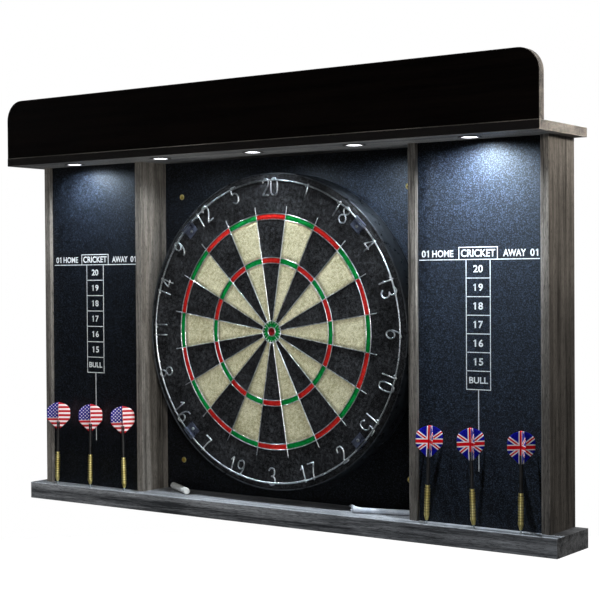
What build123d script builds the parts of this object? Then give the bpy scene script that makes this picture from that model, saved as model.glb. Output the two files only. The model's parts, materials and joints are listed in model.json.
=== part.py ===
"""Wall-hung dart board cabinet: header with lights, two scoreboards, six darts and a bristle board.

Frame: origin on the wall, straight behind the bull. +X to the viewer's right, +Y into the wall, +Z up.
All lengths are in millimetres.
"""
from build123d import *
from math import cos, pi, radians, sin
import os

# Cabinet carcass
header_width = 924.0
body_width = 888.0
panel_thickness = 12.0
body_depth = 74.0
header_depth = 136.0
tray_depth = 92.0
tray_top = -248.0
tray_thickness = 25.5
shelf_bottom = 256.0
fascia_height = 89.5
fascia_corner_radius = 30.0
back_thickness = 16.0
divider_inner = 237.5
arris_radius = 0.8
scoreboard_front = 68.0
scoreboard_thickness = 6.0
scoreboard_gap = 0.25
cleat_size = 18.0
cleat_length = 480.0
fascia_block_length = 40.0
fascia_block_size = 16.0
fascia_block_chamfer = 5.0
fascia_block_places = (-260.0, -86.0, 86.0, 260.0)

# Cabinet screws
screw_radius = 2.0
screw_head_radius = 4.0
screw_head_height = 2.3
screw_length = 45.0
screw_rows = (-58.0, -28.0)

# Wall fixing
eyelet_reach_x = 204.0
eyelet_reach_z = 203.0
eyelet_bore_radius = 2.75
eyelet_outer_radius = 3.5
eyelet_flange_radius = 4.3
eyelet_flange_height = 1.0

# Lights in the header shelf
light_places = (-348.0, -172.0, 0.0, 172.0, 348.0)
light_row = -103.0
can_radius = 13.5
can_wall = 1.2
can_rise = 4.5
bezel_radius = 15.5
bezel_height = 1.4
lens_radius = 12.0
lens_thickness = 1.6
chip_width = 5.8
circuit_board_thickness = 1.6
circuit_board_lift = 8.0
boss_half_width = 9.0
boss_reach = 15.0

# Light wiring, laid on the shelf behind the fascia
wire_radius = 1.2
wire_lift = 1.3
wire_side_step = 5.0
wire_row = -77.0
wire_bend_radius = 9.0
feed_row = -71.0
feed_start_x = 74.0
feed_bend_radius = 4.5
clip_size = (6.0, 8.0, 4.0)
clip_channel_radius = 1.25
clip_shoulder = 1.0
clip_shares = (0.3, 0.7)

# Battery box
box_low_x = 62.0
box_length = 80.0
box_front = -66.0
box_width = 50.0
box_height = 20.0
box_wall = 2.0
switch_bay = 20.0
cell_radius = 7.1
cell_length = 50.0
cell_cap_radius = 2.7
cell_cap_height = 1.2
cell_pitch = 15.0
cell_count = 3
cover_thickness = 2.0
cover_top_half_width = 22.0
cover_bevel = 1.0
cover_clearance = 0.3
rib_width = 2.0
rib_pitch = 4.0
rib_end_gap = 8.0
rib_height = 0.8
rib_count = 3
switch_pivot_drop = 3.0
rocker_half_length = 6.0
rocker_half_width = 4.2
rocker_below = 3.0
rocker_above = 2.0
rocker_crown = 3.0
rocker_tilt = 8.0
rocker_pin_radius = 1.0
rocker_pin_reach = 1.5
rocker_pin_fit = 0.08
pocket_clearance = 1.3
pocket_side_clearance = 0.3

# Dart board
board_radius = 228.5
rim_thickness = 1.5
rim_proud = 1.0
board_face = -60.5
sisal_thickness = 32.0
backing_thickness = 6.0
double_outer = 170.0
double_inner = 162.0
treble_outer = 107.0
treble_inner = 99.0
outer_bull = 15.9
inner_bull = 6.35
wire_width = 1.3
wire_height = 1.3
radial_wire_end = 181.5
bull_spoke_count = 4
sector_count = 20
spacer_radius = 10.0
spacer_thickness = 6.2
spacer_circle = 190.0
spacer_count = 3
spacer_start_angle = 90.0

# Hanging bracket and screw
bracket_gauge = 1.5
bracket_standoff = 3.7
bracket_half_width = 18.0
bracket_flange = 12.0
bracket_low = -20.0
bracket_high = 18.0
bracket_slot_radius = 2.8
bracket_screw_x = 24.0
bracket_screw_heights = (-13.0, 11.0)
bracket_screw_radius = 1.75
bracket_screw_head_radius = 3.5
bracket_screw_head_height = 2.0
bracket_screw_head_round = 1.2
bracket_screw_depth = 12.0
hanger_radius = 2.5
hanger_head_radius = 5.5
hanger_head_height = 2.5
hanger_head_gap = 0.9
hanger_depth = 17.5
hanger_fit = 0.05
hanger_tip_gap = 1.0

# Number ring
ring_radius = 218.0
ring_wire_radius = 1.2
ring_stand = 2.6
digit_wire_radius = 0.9
digit_height = 24.0
digit_half_width = 5.2
digit_top_radius = 215.5
digit_pair_step = 7.4
digit_bend_radius = 1.3
numbers = (20, 1, 18, 4, 13, 6, 10, 15, 2, 17, 3, 19, 7, 16, 8, 11, 14, 9, 12, 5)
upright_numbers = (2, 17, 3, 19, 7, 16)

# Number ring clips
clip_gauge = 0.8
clip_length = 20.0
clip_inner_radius = 203.0
clip_ring_gap = 0.4
clip_height = 5.0
clip_count = 4
clip_start_angle = 45.0
clip_pin_circle = 209.0
clip_pin_radius = 1.2
clip_pin_head_radius = 2.4
clip_pin_head_height = 1.4
clip_pin_depth = 9.0

# Darts
dart_pitch = 72.0
dart_row = -82.0
dart_shifts = {"left": (0.0, 0.0, 0.0), "right": (0.0, -1.4, -5.6)}
dart_hole_radius = 2.5
dart_hole_depth = 22.0
dart_leans = {"left": (2.0, 0.8, -1.4), "right": (2.6, -1.9, 0.6)}
point_radius = 1.2
point_tip_radius = 0.3
point_taper = 7.0
tip_gap = 0.3
socket_depth = 8.0
nose_height = 4.6
nose_radius = 1.9
nose_length = 6.5
barrel_radius = 3.7
barrel_length = 46.5
groove_count = 9
groove_width = 1.2
groove_depth = 0.4
groove_pitch = 3.6
groove_start = 4.0
collar_length = 3.0
collar_radius = 3.1
collar_gap = 1.2
collar_neck_radius = 2.7
thread_radius = 1.9
stem_radius = 2.4
stem_length = 48.0
flight_start = 37.0
flight_height = 42.0
flight_half_span = 18.5
flight_thickness = 0.5
flight_root = 3.0
flight_shoulder = 15.0
flight_cheek = 31.0
flight_crown_x = 12.5
flight_crown = 38.5
flight_crown_bend = 10.0
flight_turn = 45.0

# Things that lie on the tray
chalk_radius = 5.0
chalk_length = 72.0
chalk_back_end = (-221.0, -23.0)
chalk_heading = -32.5
cloth_radius = 3.8
cloth_flare_radius = 5.4
cloth_flare_length = 12.0
cloth_length = 88.0
cloth_left_end = (141.0, -64.0)
cloth_heading = 16.0
rest_gap = 0.3
chalk_edge = 0.6

# Worked out from the above
shelf_top = shelf_bottom + panel_thickness
tray_bottom = tray_top - tray_thickness
side_inner = body_width / 2 - panel_thickness
divider_outer = divider_inner + panel_thickness
bay_middle = (divider_outer + side_inner) / 2
board_back = board_face + sisal_thickness + backing_thickness
backing_front = board_back - backing_thickness
sisal_radius = board_radius - rim_thickness
ring_plane = board_face - ring_stand
box_high_x = box_low_x + box_length
box_back = box_front + box_width
box_middle_y = box_front + box_width / 2
box_top = shelf_top + box_height
cell_bay_low = box_low_x + switch_bay
wire_z = shelf_top + wire_lift
boss_back = light_row + boss_reach
FACING = Plane.XZ

os.makedirs("parts", exist_ok=True)


def save(part, name):
    """Label a finished part and write it as one file."""
    part.label = name
    export_step(part, f"parts/{name}.step")


def block(x_span, y_span, z_span, mode=Mode.ADD):
    """Box that fills three (low, high) spans of the part being built."""
    spans = (x_span, y_span, z_span)
    middle = tuple((low + high) / 2 for low, high in spans)
    with Locations(middle):
        Box(*(high - low for low, high in spans), mode=mode)


def ease(edges):
    """Take the sharp arris off a set of long edges."""
    fillet(edges, radius=arris_radius)


# Cabinet screws: a row through the shelf and a row through the tray, into each upright panel
upright_reaches = [inner + panel_thickness / 2 for inner in (divider_inner, side_inner)]
upright_middles = [side * reach for side in (-1, 1) for reach in upright_reaches]

with BuildPart() as cabinet_screws:
    for start, way in ((shelf_top, -1), (tray_bottom, 1)):
        for x in upright_middles:
            for y in screw_rows:
                with BuildSketch(Plane(origin=(x, y, start), x_dir=(1, 0, 0), z_dir=(0, -1, 0))):
                    with BuildLine():
                        Polyline(
                            (0, 0),
                            (screw_head_radius, 0),
                            (screw_radius, way * screw_head_height),
                            (screw_radius, way * (screw_length - screw_radius)),
                            (0, way * screw_length),
                            close=True,
                        )
                    make_face()
                revolve(axis=Axis((x, y, start), (0, 0, 1)))
save(cabinet_screws.part, "cabinet_screws")

# Wall eyelets: flanged brass bushes that line the four fixing holes of the back panel
eyelet_places = [(x, z) for x in (-eyelet_reach_x, eyelet_reach_x) for z in (-eyelet_reach_z, eyelet_reach_z)]

with BuildPart() as wall_eyelets:
    with BuildSketch(FACING):
        with Locations(*eyelet_places):
            Circle(eyelet_outer_radius)
    extrude(amount=back_thickness)
    with BuildSketch(FACING.offset(back_thickness)):
        with Locations(*eyelet_places):
            Circle(eyelet_flange_radius)
    extrude(amount=eyelet_flange_height)
    rims = wall_eyelets.faces().group_by(Axis.Y)[0].edges().filter_by(GeomType.CIRCLE)
    fillet(rims, radius=eyelet_flange_height / 2)
    with BuildSketch(FACING):
        with Locations(*eyelet_places):
            Circle(eyelet_bore_radius)
    extrude(amount=back_thickness + eyelet_flange_height, mode=Mode.SUBTRACT)
save(wall_eyelets.part, "wall_eyelets")

# Bracket screws, through the bracket's two flanges into the back panel
bracket_screw_places = [(x, z) for x in (-bracket_screw_x, bracket_screw_x) for z in bracket_screw_heights]
bracket_seat = back_thickness + bracket_gauge

with BuildPart() as bracket_screws:
    with BuildSketch(FACING.offset(back_thickness - bracket_screw_depth)):
        with Locations(*bracket_screw_places):
            Circle(bracket_screw_radius)
    extrude(amount=bracket_screw_depth + bracket_gauge)
    with BuildSketch(FACING.offset(bracket_seat)):
        with Locations(*bracket_screw_places):
            Circle(bracket_screw_head_radius)
    extrude(amount=bracket_screw_head_height)
    heads = bracket_screws.faces().group_by(Axis.Y)[0].edges()
    fillet(heads, radius=bracket_screw_head_round)
save(bracket_screws.part, "bracket_screws")

# Back panel, between the side panels, drilled for the eyelets and the bracket screws
with BuildPart() as back_panel:
    block((-side_inner, side_inner), (-back_thickness, 0), (tray_top, shelf_bottom))
    with BuildSketch(FACING):
        with Locations(*eyelet_places):
            Circle(eyelet_outer_radius)
    extrude(amount=back_thickness, mode=Mode.SUBTRACT)
    add(bracket_screws.part, mode=Mode.SUBTRACT)
save(back_panel.part, "back_panel")

# Side panels and dividers
for name, low_x, back_y in (
    ("side_panel_left", -side_inner - panel_thickness, 0),
    ("side_panel_right", side_inner, 0),
    ("divider_left", -divider_outer, -back_thickness),
    ("divider_right", divider_inner, -back_thickness),
):
    with BuildPart() as upright:
        block((low_x, low_x + panel_thickness), (-body_depth, back_y), (tray_top, shelf_bottom))
        ease(upright.edges().filter_by(Axis.Z).group_by(Axis.Y)[0])
        add(cabinet_screws.part, mode=Mode.SUBTRACT)
    save(upright.part, name)

# Light cans: a bezel under the shelf, a can through it, and a boss on top where the wires enter
with BuildPart() as led_cans:
    for x in light_places:
        with BuildSketch(Plane.XY.offset(shelf_bottom - bezel_height)):
            with Locations((x, light_row)):
                Circle(bezel_radius)
        extrude(amount=bezel_height)
        with BuildSketch(Plane.XY.offset(shelf_bottom)):
            with Locations((x, light_row)):
                Circle(can_radius)
        extrude(amount=panel_thickness + can_rise)
        block(
            (x - boss_half_width, x + boss_half_width),
            (light_row, boss_back),
            (shelf_top, shelf_top + can_rise),
        )
    fillet(led_cans.faces().group_by(Axis.Z)[0].edges(), radius=bezel_height / 2)
    for x in light_places:
        with BuildSketch(Plane.XY.offset(shelf_bottom - bezel_height)):
            with Locations((x, light_row)):
                Circle(lens_radius)
        extrude(amount=bezel_height + panel_thickness + can_rise - can_wall, mode=Mode.SUBTRACT)
save(led_cans.part, "led_cans")

# Lenses, set in the mouths of the cans
with BuildPart() as led_lenses:
    with BuildSketch(Plane.XY.offset(shelf_bottom - bezel_height / 2)):
        with Locations(*((x, light_row) for x in light_places)):
            Circle(lens_radius)
    extrude(amount=lens_thickness)
save(led_lenses.part, "led_lenses")

# Circuit boards with one square chip each, held across the cans above the lenses
with BuildPart() as led_circuit_boards:
    with BuildSketch(Plane.XY.offset(shelf_bottom + circuit_board_lift)):
        with Locations(*((x, light_row) for x in light_places)):
            Circle(lens_radius)
    extrude(amount=circuit_board_thickness)
    with BuildSketch(Plane.XY.offset(shelf_bottom + circuit_board_lift)):
        with Locations(*((x, light_row) for x in light_places)):
            Rectangle(chip_width, chip_width)
    extrude(amount=-circuit_board_thickness)
save(led_circuit_boards.part, "led_circuit_boards")

# Header shelf, bored for the light cans
with BuildPart() as header_shelf:
    block((-header_width / 2, header_width / 2), (-header_depth, 0), (shelf_bottom, shelf_top))
    ease(header_shelf.edges().filter_by(Axis.X).group_by(Axis.Y)[0].group_by(Axis.Z)[0])
    with BuildSketch(Plane.XY.offset(shelf_bottom)):
        with Locations(*((x, light_row) for x in light_places)):
            Circle(can_radius)
    extrude(amount=panel_thickness, mode=Mode.SUBTRACT)
    add(cabinet_screws.part, mode=Mode.SUBTRACT)
save(header_shelf.part, "header_shelf")

# Header fascia, standing on the front of the shelf, with two rounded top corners
with BuildPart() as header_fascia:
    with BuildSketch(FACING.offset(header_depth - panel_thickness)):
        with Locations((0, shelf_top + fascia_height / 2)):
            Rectangle(header_width, fascia_height)
    extrude(amount=panel_thickness)
    fillet(header_fascia.edges().filter_by(Axis.Y).group_by(Axis.Z)[-1], radius=fascia_corner_radius)
    front_edges = header_fascia.faces().sort_by(Axis.Y)[0].edges()
    ease(front_edges.sort_by(Axis.Z)[1:])
save(header_fascia.part, "header_fascia")

# Glue blocks in the corner behind the fascia
with BuildPart() as fascia_blocks:
    fascia_back = panel_thickness - header_depth
    for x in fascia_block_places:
        block(
            (x - fascia_block_length / 2, x + fascia_block_length / 2),
            (fascia_back, fascia_back + fascia_block_size),
            (shelf_top, shelf_top + fascia_block_size),
        )
    loose_edges = fascia_blocks.edges().filter_by(Axis.X).group_by(Axis.Z)[-1].group_by(Axis.Y)[-1]
    chamfer(loose_edges, length=fascia_block_chamfer)
save(fascia_blocks.part, "fascia_blocks")

# Bottom tray, with three blind dart holes in front of each scoreboard
dart_holes = {
    side: [
        (middle + step * dart_pitch + shift, dart_row)
        for step, shift in zip((-1, 0, 1), dart_shifts[side])
    ]
    for side, middle in (("left", -bay_middle), ("right", bay_middle))
}

with BuildPart() as bottom_tray:
    block((-header_width / 2, header_width / 2), (-tray_depth, 0), (tray_bottom, tray_top))
    ease(bottom_tray.edges().filter_by(Axis.X).group_by(Axis.Y)[0])
    with BuildSketch(Plane.XY.offset(tray_top)):
        with Locations(*dart_holes["left"], *dart_holes["right"]):
            Circle(dart_hole_radius)
    extrude(amount=-dart_hole_depth, mode=Mode.SUBTRACT)
    add(cabinet_screws.part, mode=Mode.SUBTRACT)
save(bottom_tray.part, "bottom_tray")

# Scoreboards, set back between each divider and side panel
for name, side in (("scoreboard_left", -1), ("scoreboard_right", 1)):
    reach = sorted((side * (divider_outer + scoreboard_gap), side * (side_inner - scoreboard_gap)))
    with BuildPart() as scoreboard:
        block(
            tuple(reach),
            (-scoreboard_front, scoreboard_thickness - scoreboard_front),
            (tray_top + scoreboard_gap, shelf_bottom - scoreboard_gap),
        )
    save(scoreboard.part, name)

# Cleats behind the scoreboards, one on each face that looks into a side bay
with BuildPart() as scoreboard_cleats:
    cleat_front = scoreboard_thickness - scoreboard_front
    cleat_middle = (tray_top + shelf_bottom) / 2
    for side in (-1, 1):
        for low in (divider_outer, side_inner - cleat_size):
            block(
                tuple(sorted((side * low, side * (low + cleat_size)))),
                (cleat_front, cleat_front + cleat_size),
                (cleat_middle - cleat_length / 2, cleat_middle + cleat_length / 2),
            )
save(scoreboard_cleats.part, "scoreboard_cleats")

# Battery box: a bay for three cells under a sliding cover, and a bay with a rocker switch
pivot_x = box_low_x + switch_bay / 2
pivot_z = box_top - switch_pivot_drop
pivot = (pivot_x, box_middle_y, pivot_z)
rocker_plane = Plane(origin=pivot, x_dir=(1, 0, 0), z_dir=(0, -1, 0))
tipped_way = (cos(radians(rocker_tilt)), 0, sin(radians(rocker_tilt)))
tipped_plane = Plane(origin=pivot, x_dir=tipped_way, z_dir=(0, -1, 0))
cover_seat = Plane(origin=(cell_bay_low, box_middle_y, box_top), x_dir=(0, 1, 0), z_dir=(1, 0, 0))


def cover_outline(growth):
    """Dovetail section of the cover, wider below, as a closed outline in the seat plane."""
    top = cover_top_half_width + growth
    bottom = top + cover_bevel
    depth = cover_thickness + growth
    Polyline((-top, 0), (top, 0), (bottom, -depth), (-bottom, -depth), close=True)


with BuildPart() as battery_box:
    block((box_low_x, box_high_x), (box_front, box_back), (shelf_top, box_top))
    fillet(battery_box.edges().filter_by(Axis.Z), radius=box_wall)
    block(
        (cell_bay_low + box_wall, box_high_x - box_wall),
        (box_front + box_wall, box_back - box_wall),
        (shelf_top + box_wall, box_top - cover_thickness - cover_clearance),
        mode=Mode.SUBTRACT,
    )
    with BuildSketch(cover_seat):
        with BuildLine():
            cover_outline(cover_clearance)
        make_face()
    extrude(amount=box_length, mode=Mode.SUBTRACT)
    with BuildSketch(rocker_plane):
        pocket_half = rocker_half_length + pocket_clearance
        with Locations((0, (switch_pivot_drop - rocker_below - rocker_above) / 2)):
            Rectangle(2 * pocket_half, switch_pivot_drop + rocker_below + rocker_above)
    extrude(amount=rocker_half_width + pocket_side_clearance, both=True, mode=Mode.SUBTRACT)
    with BuildSketch(rocker_plane):
        Circle(rocker_pin_radius + rocker_pin_fit)
    pin_half = rocker_half_width + rocker_pin_reach
    extrude(amount=pin_half + pocket_side_clearance, both=True, mode=Mode.SUBTRACT)
save(battery_box.part, "battery_box")

with BuildPart() as battery_cover:
    with BuildSketch(cover_seat.offset(cover_clearance)):
        with BuildLine():
            cover_outline(0)
        make_face()
    extrude(amount=box_length - switch_bay - cover_clearance)
    for index in range(rib_count):
        rib_x = box_high_x - rib_end_gap - index * rib_pitch
        block(
            (rib_x, rib_x + rib_width),
            (box_middle_y - cover_top_half_width / 2, box_middle_y + cover_top_half_width / 2),
            (box_top, box_top + rib_height),
        )
save(battery_cover.part, "battery_cover")

with BuildPart() as battery_cells:
    bay_low = cell_bay_low + box_wall
    bay_length = box_high_x - box_wall - bay_low
    first_x = bay_low + (bay_length - cell_length) / 2
    cell_z = shelf_top + box_wall + cell_radius
    for index in range(cell_count):
        cell_y = box_middle_y + (index - (cell_count - 1) / 2) * cell_pitch
        cell_plane = Plane(origin=(first_x, cell_y, cell_z), x_dir=(0, 1, 0), z_dir=(1, 0, 0))
        with BuildSketch(cell_plane):
            Circle(cell_radius)
        extrude(amount=cell_length - cell_cap_height)
        if index % 2 == 0:
            cap_plane = cell_plane.offset(cell_length - cell_cap_height)
        else:
            cap_plane = cell_plane.offset(-cell_cap_height)
        with BuildSketch(cap_plane):
            Circle(cell_cap_radius)
        extrude(amount=cell_cap_height)
save(battery_cells.part, "battery_cells")

# Rocker, drawn tipped to its on side, with a pin at each end of its pivot
with BuildPart() as power_switch:
    with BuildSketch(tipped_plane):
        with BuildLine():
            Polyline(
                (-rocker_half_length, -rocker_below),
                (rocker_half_length, -rocker_below),
                (rocker_half_length, rocker_above),
                (0, rocker_crown),
                (-rocker_half_length, rocker_above),
                close=True,
            )
        make_face()
    extrude(amount=rocker_half_width, both=True)
    with BuildSketch(rocker_plane):
        Circle(rocker_pin_radius)
    extrude(amount=pin_half, both=True)
save(power_switch.part, "power_switch")

# Wiring: a lead from each can to the next, and a feed from the battery box to the middle can
jumper_routes = [
    [
        (left + wire_side_step, boss_back),
        (left + wire_side_step, wire_row),
        (right - wire_side_step, wire_row),
        (right - wire_side_step, boss_back),
    ]
    for left, right in zip(light_places, light_places[1:])
]
feed_route = [(feed_start_x, box_front), (feed_start_x, feed_row), (0, feed_row), (0, boss_back)]
wire_level = Plane.XY.offset(wire_z)

lead_runs = [(route, wire_bend_radius) for route in jumper_routes]
lead_runs.append((feed_route, feed_bend_radius))

with BuildPart() as led_wiring:
    for route, bend in lead_runs:
        with BuildLine(wire_level) as lead:
            FilletPolyline(*route, radius=bend)
        with BuildSketch(Plane(lead.line ^ 0)):
            Circle(wire_radius)
        sweep(path=lead.line)
save(led_wiring.part, "led_wiring")

# Saddle clips over the leads, two on each jumper and one on the feed
clip_x, clip_y, clip_z = clip_size
clip_places = [
    (first[0] + share * (last[0] - first[0]), wire_row)
    for first, *_, last in jumper_routes
    for share in clip_shares
]
clip_places.append((feed_start_x / 2, feed_row))

with BuildPart() as wire_clips:
    for x, y in clip_places:
        side = 1 if y == feed_row else -1
        near = wire_radius + clip_shoulder
        block(
            (x - clip_x / 2, x + clip_x / 2),
            tuple(sorted((y - side * near, y + side * (clip_y - near)))),
            (shelf_top, shelf_top + clip_z),
        )
    for x, y in clip_places:
        with BuildSketch(Plane(origin=(x, y, wire_z), x_dir=(0, 1, 0), z_dir=(1, 0, 0))):
            Circle(clip_channel_radius)
            with Locations((0, -wire_lift / 2)):
                Rectangle(2 * clip_channel_radius, wire_lift)
        extrude(amount=clip_x, both=True, mode=Mode.SUBTRACT)
save(wire_clips.part, "wire_clips")

# Hanging bracket: a hat section with a U slot, open at the top, in its raised face
with BuildPart() as board_bracket:
    with BuildSketch(Plane.XY.offset(bracket_low)):
        raised = back_thickness + bracket_standoff
        with Locations((0, -(back_thickness + raised + bracket_gauge) / 2)):
            Rectangle(2 * bracket_half_width, bracket_standoff + bracket_gauge)
        with Locations((0, -back_thickness - bracket_standoff / 2)):
            Rectangle(2 * (bracket_half_width - bracket_gauge), bracket_standoff, mode=Mode.SUBTRACT)
        flange_x = bracket_half_width + bracket_flange / 2
        flange_y = -back_thickness - bracket_gauge / 2
        with Locations((-flange_x, flange_y), (flange_x, flange_y)):
            Rectangle(bracket_flange, bracket_gauge)
    extrude(amount=bracket_high - bracket_low)
    with BuildSketch(FACING.offset(back_thickness)):
        Circle(bracket_slot_radius)
        with Locations((0, bracket_high / 2)):
            Rectangle(2 * bracket_slot_radius, bracket_high)
    extrude(amount=bracket_standoff + bracket_gauge, mode=Mode.SUBTRACT)
    add(bracket_screws.part, mode=Mode.SUBTRACT)
save(board_bracket.part, "board_bracket")

# Hanging screw, with its head behind the bracket's raised face and its shank in the board
head_back = -back_thickness - hanger_head_gap

with BuildPart() as hanging_screw:
    with BuildSketch(FACING.offset(-head_back)):
        Circle(hanger_head_radius)
    extrude(amount=hanger_head_height)
    with BuildSketch(FACING.offset(-head_back)):
        Circle(hanger_radius)
    extrude(amount=head_back - board_back + hanger_depth)
    chamfer(hanging_screw.edges().filter_by(GeomType.CIRCLE).sort_by(Axis.Y)[0], length=hanger_radius / 2)
save(hanging_screw.part, "hanging_screw")

# Board backing, and the hole for the hanging screw
with BuildPart() as board_backing:
    with BuildSketch(FACING.offset(-board_back)):
        Circle(sisal_radius)
        Circle(hanger_radius + hanger_fit, mode=Mode.SUBTRACT)
    extrude(amount=backing_thickness)
save(board_backing.part, "board_backing")

# Pins that hold the number ring clips to the face of the board
clip_angles = [clip_start_angle + index * 360 / clip_count for index in range(clip_count)]
clip_pin_places = [
    (clip_pin_circle * cos(radians(angle)), clip_pin_circle * sin(radians(angle))) for angle in clip_angles
]
clip_seat = clip_gauge - board_face

with BuildPart() as ring_clip_pins:
    with BuildSketch(FACING.offset(clip_seat - clip_gauge - clip_pin_depth)):
        with Locations(*clip_pin_places):
            Circle(clip_pin_radius)
    extrude(amount=clip_pin_depth + clip_gauge)
    with BuildSketch(FACING.offset(clip_seat)):
        with Locations(*clip_pin_places):
            Circle(clip_pin_head_radius)
    extrude(amount=clip_pin_head_height)
    fillet(ring_clip_pins.faces().group_by(Axis.Y)[0].edges(), radius=clip_pin_head_height / 2)
save(ring_clip_pins.part, "ring_clip_pins")

# Number ring clips: a tongue pinned to the board and a channel, open at the front, for the ring
with BuildPart() as ring_clips:
    channel_inner = ring_radius - ring_wire_radius - clip_ring_gap
    channel_outer = ring_radius + ring_wire_radius + clip_ring_gap
    for angle in clip_angles:
        outward = Vector(cos(radians(angle)), 0, sin(radians(angle)))
        along = Vector(-sin(radians(angle)), 0, cos(radians(angle)))
        with BuildSketch(Plane(origin=(0, board_face, 0), x_dir=outward, z_dir=-along)):
            with BuildLine():
                Polyline(
                    (clip_inner_radius, 0),
                    (channel_outer + clip_gauge, 0),
                    (channel_outer + clip_gauge, clip_height),
                    (channel_outer, clip_height),
                    (channel_outer, clip_gauge),
                    (channel_inner, clip_gauge),
                    (channel_inner, clip_height),
                    (channel_inner - clip_gauge, clip_height),
                    (channel_inner - clip_gauge, clip_gauge),
                    (clip_inner_radius, clip_gauge),
                    close=True,
                )
            make_face()
        extrude(amount=clip_length / 2, both=True)
    add(ring_clip_pins.part, mode=Mode.SUBTRACT)
save(ring_clips.part, "ring_clips")

# Sisal face of the board
with BuildPart() as board_sisal:
    with BuildSketch(FACING.offset(-backing_front)):
        Circle(sisal_radius)
    extrude(amount=sisal_thickness)
    with BuildSketch(FACING.offset(-backing_front)):
        Circle(hanger_radius + hanger_fit)
    extrude(amount=hanger_depth - backing_thickness + hanger_tip_gap, mode=Mode.SUBTRACT)
    add(ring_clip_pins.part, mode=Mode.SUBTRACT)
save(board_sisal.part, "board_sisal")

# Steel band round the board
with BuildPart() as board_rim:
    with BuildSketch(FACING.offset(-board_back)):
        Circle(board_radius)
        Circle(sisal_radius, mode=Mode.SUBTRACT)
    extrude(amount=sisal_thickness + backing_thickness + rim_proud)
    front_edges = board_rim.edges().filter_by(GeomType.CIRCLE).group_by(Axis.Y)[0]
    fillet(front_edges, radius=rim_thickness / 3)
save(board_rim.part, "board_rim")

# Rubber spacers on the back of the board
with BuildPart() as board_spacers:
    with BuildSketch(FACING.offset(-board_back - spacer_thickness)):
        with PolarLocations(spacer_circle, spacer_count, start_angle=spacer_start_angle):
            Circle(spacer_radius)
    extrude(amount=spacer_thickness)
save(board_spacers.part, "board_spacers")

# Wire spider: six scoring rings joined by the radial wires, in one welded net
half_sector = 180 / sector_count

with BuildPart() as wire_spider:
    with BuildSketch(FACING.offset(-board_face)):
        with PolarLocations((outer_bull + radial_wire_end) / 2, sector_count, start_angle=half_sector):
            Rectangle(radial_wire_end - outer_bull, wire_width)
        for radius in (double_outer, double_inner, treble_outer, treble_inner, outer_bull):
            with BuildSketch(FACING.offset(-board_face), mode=Mode.PRIVATE) as scoring_ring:
                Circle(radius + wire_width / 2)
                Circle(radius - wire_width / 2, mode=Mode.SUBTRACT)
            add(scoring_ring.sketch_local)
        with BuildSketch(FACING.offset(-board_face), mode=Mode.PRIVATE) as bull_ring:
            Circle(inner_bull + wire_width / 2)
            Circle(inner_bull - wire_width / 2, mode=Mode.SUBTRACT)
            with PolarLocations((inner_bull + outer_bull) / 2, bull_spoke_count, start_angle=half_sector):
                Rectangle(outer_bull - inner_bull, wire_width)
        add(bull_ring.sketch_local)
    extrude(amount=wire_height)
save(wire_spider.part, "wire_spider")

# Strokes of the wire digits: points from the foot of the digit, half width 1 and height 1
digit_strokes = {
    0: [((-1, 0), (1, 0), (1, 1), (-1, 1), (-1, 0))],
    1: [((-0.7, 0.8), (0, 1), (0, 0))],
    2: [((-1, 0.76), (-1, 1), (1, 1), (1, 0.58), (-1, 0), (1, 0))],
    3: [((-1, 0.86), (-1, 1), (1, 1), (1, 0.62), (0.1, 0.5), (1, 0.38), (1, 0), (-1, 0), (-1, 0.14))],
    4: [((0.45, 1), (0.45, 0)), ((0.05, 1), (-1, 0.45), (-1, 0.25), (0.05, 0.25))],
    5: [((0.85, 1), (-1, 1), (-1, 0.56), (1, 0.56), (1, 0), (-1, 0), (-1, 0.14))],
    6: [((1, 0.86), (1, 1), (-1, 1), (-1, 0), (1, 0), (1, 0.52), (-0.6, 0.52))],
    7: [((-1, 1), (1, 1), (-0.3, 0))],
    8: [
        ((-1, 0), (1, 0), (1, 0.47), (-1, 0.47), (-1, 0)),
        ((-1, 0.53), (1, 0.53), (1, 1), (-1, 1), (-1, 0.53)),
    ],
}
digit_strokes[9] = [tuple((-x, 1 - y) for x, y in digit_strokes[6][0])]


def digit_plane(angle, sideways, upright):
    """Plane of one digit: its foot at the origin, its top outward, or inward when it stands upright."""
    way = -1 if upright else 1
    outward = Vector(cos(angle), 0, sin(angle))
    rightward = Vector(sin(angle), 0, -cos(angle)) * way
    foot_radius = digit_top_radius if upright else digit_top_radius - digit_height
    foot = outward * foot_radius + rightward * sideways + Vector(0, ring_plane, 0)
    return Plane(origin=foot, x_dir=rightward, z_dir=(0, -1, 0))


# Number ring: a round wire with the wire digits of the twenty numbers tacked inside it
with BuildPart() as number_ring:
    with BuildSketch(Plane.XY):
        with Locations((ring_radius, ring_plane)):
            Circle(ring_wire_radius)
    revolve(axis=Axis.Y)
    for place, number in enumerate(numbers):
        angle = pi / 2 - place * 2 * pi / sector_count
        digits = [int(letter) for letter in str(number)]
        for order, digit in enumerate(digits):
            sideways = digit_pair_step * (2 * order - len(digits) + 1)
            plane = digit_plane(angle, sideways, number in upright_numbers)
            for stroke in digit_strokes[digit]:
                closed = stroke[0] == stroke[-1]
                corners = stroke[:-1] if closed else stroke
                points = [(x * digit_half_width, y * digit_height) for x, y in corners]
                with BuildLine(plane) as path:
                    if len(points) == 2:
                        Line(*points)
                    else:
                        FilletPolyline(*points, radius=digit_bend_radius, close=closed)
                with BuildSketch(Plane(path.line ^ 0)):
                    Circle(digit_wire_radius)
                sweep(path=path.line)
save(number_ring.part, "number_ring")

# Darts: point, barrel, stem and flight, standing in the tray holes
barrel_top = nose_height + barrel_length
flight_bottom = barrel_top + flight_start


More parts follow.
